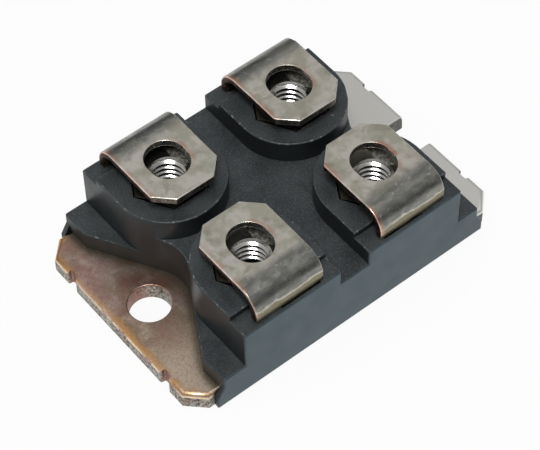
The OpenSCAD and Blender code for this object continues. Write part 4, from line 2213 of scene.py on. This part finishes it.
def place_nuts(shape: TerminalNut, screw: Vector, seat_z: float) -> None:
    """Model the nut once and bring a copy to each corner.

    Args:
        shape: The nut.
        screw: Place of the screw at +X and +Y.
        seat_z: Height that the nuts stand at.
    """
    pattern = shape.build(NUT_METAL.make(), THREAD_METAL.make())
    for corner in CORNERS:
        piece = copy_piece(pattern)
        bpy.ops.transform.translate(value=(corner.side_x * screw.x, corner.side_y * screw.y, seat_z))
        finish_piece(piece, f"nut_{corner.label}")
        hand_over(piece, "nut_metal", "terminal_nuts")
    bpy.data.objects.remove(pattern)


def dress_inside(nodes: Mapping[str, Piece]) -> None:
    """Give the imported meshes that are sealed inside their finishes.

    Args:
        nodes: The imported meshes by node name.
    """
    for hidden in Hidden:
        material = hidden.finish.make()
        for name in hidden.nodes:
            dress(nodes[name], material)
            LOG.info("%s keeps its packed mesh", name)


def direction_of(azimuth: float, elevation: float) -> Vector:
    """Give the unit vector towards an azimuth, counted from -Y towards +X, and an elevation in degrees."""
    turn, rise = math.radians(azimuth), math.radians(elevation)
    return Vector((math.sin(turn) * math.cos(rise), -math.cos(turn) * math.cos(rise), math.sin(rise)))


@dataclass(frozen=True)
class Lamp:
    """Soft rectangular light that looks at the module."""

    name: str
    azimuth: float
    elevation: float
    distance_m: float
    size_m: float
    watts: float

    def place(self, aim: Vector) -> None:
        """Put the light up.

        Args:
            aim: The point in metres that it looks at.
        """
        data = bpy.data.lights.new(self.name, "AREA")
        data.shape = "SQUARE"
        data.size = self.size_m
        data.energy = self.watts
        lamp = bpy.data.objects.new(self.name, data)
        bpy.context.scene.collection.objects.link(lamp)
        away = direction_of(self.azimuth, self.elevation)
        lamp.location = aim + self.distance_m * away
        lamp.rotation_euler = away.to_track_quat("Z", "Y").to_euler()


@dataclass(frozen=True)
class Studio:
    """White floor, two soft lights, a pale sky with a dim band and a dim screen, and the camera."""

    lamps: tuple[Lamp, ...] = (
        Lamp("key_softbox", azimuth=-42.0, elevation=71.0, distance_m=0.55, size_m=0.16, watts=1.7),
        Lamp("side_panel", azimuth=-120.0, elevation=22.0, distance_m=0.6, size_m=0.26, watts=0.2),
    )
    sky: tuple[tuple[float, float], ...] = (
        (0.0, 0.9),
        (0.52, 0.9),
        (0.56, 0.2),
        (0.7, 0.2),
        (0.86, 0.49),
        (0.93, 0.55),
        (0.98, 0.58),
        (1.0, 0.58),
    )
    screen_azimuth: float = 30.0
    screen_elevation: float = 34.0
    screen_inner: float = 20.0
    screen_outer: float = 32.0
    screen_level: float = 0.85
    floor_m: float = 12.0
    floor_colour: str = "#f6f6f6"
    floor_white: float = 0.86
    camera_mm: tuple[float, float, float] = (-79.995, -102.339, 174.597)
    camera_right: tuple[float, float, float] = (0.77752, -0.62872, -0.01334)
    camera_up: tuple[float, float, float] = (0.50891, 0.61662, 0.60065)
    lens_mm: float = 145.79
    sensor_mm: float = 36.0
    aim_m: Vector = Vector((0.0, 0.0, 0.005))

    def build(self) -> None:
        """Set the studio up."""
        self.lay_floor()
        self.paint_sky()
        for lamp in self.lamps:
            lamp.place(self.aim_m)
        self.place_camera()
        bpy.context.scene.view_settings.view_transform = "Standard"

    def lay_floor(self) -> None:
        """Lay the floor, which looks nearly white and keeps a faint shadow."""
        bpy.ops.object.select_all(action="DESELECT")
        bpy.ops.mesh.primitive_plane_add(size=self.floor_m)
        floor = bpy.context.object
        floor.name = "studio_floor"
        material = bpy.data.materials.new("white_paper")
        material.use_nodes = True
        tree = material.node_tree
        tree.nodes.clear()
        node = partial(add_node, tree)
        ray = node("ShaderNodeLightPath").outputs
        seen = node(MATH, {0: ray["Is Camera Ray"], 1: ray["Is Glossy Ray"]}, **PLUS)
        all_seen = node(MATH, {0: seen, 1: ray["Is Transmission Ray"]}, **PLUS, use_clamp=True)
        share = node(MATH, {0: all_seen, 1: self.floor_white}, **TIMES)
        paper = node("ShaderNodeBsdfDiffuse", {"Color": linear(self.floor_colour)})
        glow = node("ShaderNodeEmission", {"Strength": 1.0})
        mixed = node("ShaderNodeMixShader", {0: share, 1: paper, 2: glow})
        node("ShaderNodeOutputMaterial", {"Surface": mixed})
        floor.data.materials.append(material)

    def paint_sky(self) -> None:
        """Paint the light round the module as a ramp over height."""
        world = bpy.data.worlds.new("studio_sky")
        bpy.context.scene.world = world
        world.use_nodes = True
        tree = world.node_tree
        tree.nodes.clear()
        node = partial(add_node, tree)
        direction = node("ShaderNodeTexCoord").outputs["Generated"]
        height = node(SPLIT, {"Vector": direction}).outputs["Z"]
        share = node(SPREAD, Fade(-1.0, 1.0).of(height))
        ramp = node("ShaderNodeValToRGB", {"Fac": share})
        stops = ramp.color_ramp.elements
        while len(stops) < len(self.sky):
            stops.new(0.5)
        for stop, (place, level) in zip(stops, self.sky):
            stop.position = place
            stop.color = (level, level, level, 1.0)
        towards = direction_of(self.screen_azimuth, self.screen_elevation)
        facing = node(VECTOR, {0: direction, 1: towards}, operation="DOT_PRODUCT")
        outer, inner = (math.cos(math.radians(d)) for d in (self.screen_outer, self.screen_inner))
        shaded = node(SPREAD, Fade(outer, inner, self.screen_level, 1.0).of(facing), **SMOOTH)
        sky = node("ShaderNodeBackground", {"Color": ramp, "Strength": shaded})
        node("ShaderNodeOutputWorld", {"Surface": sky})

    def place_camera(self) -> None:
        """Put the camera where the photograph was taken from."""
        data = bpy.data.cameras.new("camera")
        data.sensor_fit = "HORIZONTAL"
        data.sensor_width = self.sensor_mm
        data.lens = self.lens_mm
        data.clip_start = 0.01
        camera = bpy.data.objects.new("camera", data)
        bpy.context.scene.collection.objects.link(camera)
        right, up = Vector(self.camera_right), Vector(self.camera_up)
        turn = Matrix((right, up, right.cross(up))).transposed()
        camera.matrix_world = Matrix.Translation(Vector(self.camera_mm) * MM) @ turn.to_4x4()
        bpy.context.scene.camera = camera


def main() -> None:
    """Build the module's pieces round the frame, dress them and light them."""
    logging.basicConfig(level=logging.INFO, format="%(name)s: %(message)s")
    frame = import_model()
    record = frame["record"]
    screw = mount_place(record, "anode_2_screw")
    hole = mount_place(record, "mounting_hole")
    slot_end = mount_place(record, "mounting_slot")
    plate_span, case_span = Span.of("base_plate"), Span.of("case")
    nut_span = Span.of("terminal_nuts")

    plate_shape = BasePlate(plate_span, hole, slot_end, hole_r=2.15)
    plate = plate_shape.build(PLATE_METAL.make(), PLATE_SIDE.make())
    hand_over(plate, "plate_metal", "base_plate")

    case_shape = Case(case_span, screw, slot_end, plate_span, nut_span)
    case = case_shape.build(PLASTIC.make(), RUBBED_PLASTIC.make())
    hand_over(case, "case_plastic", "case")

    strap = Strap(Span.of("anode_terminal_2"), screw, case_shape.ledge_z)
    place_straps(strap, [finish.make() for finish in (STRAP_METAL, STRAP_SIDE, STRAP_EDGE, STRAP_HOLE)])
    nut = TerminalNut(nut_span.high.z - nut_span.low.z, flats=7.0, bore_r=1.65)
    place_nuts(nut, screw, nut_span.low.z)
    dress_inside(frame["nodes"])
    Studio().build()


if __name__ == "__main__":
    main()
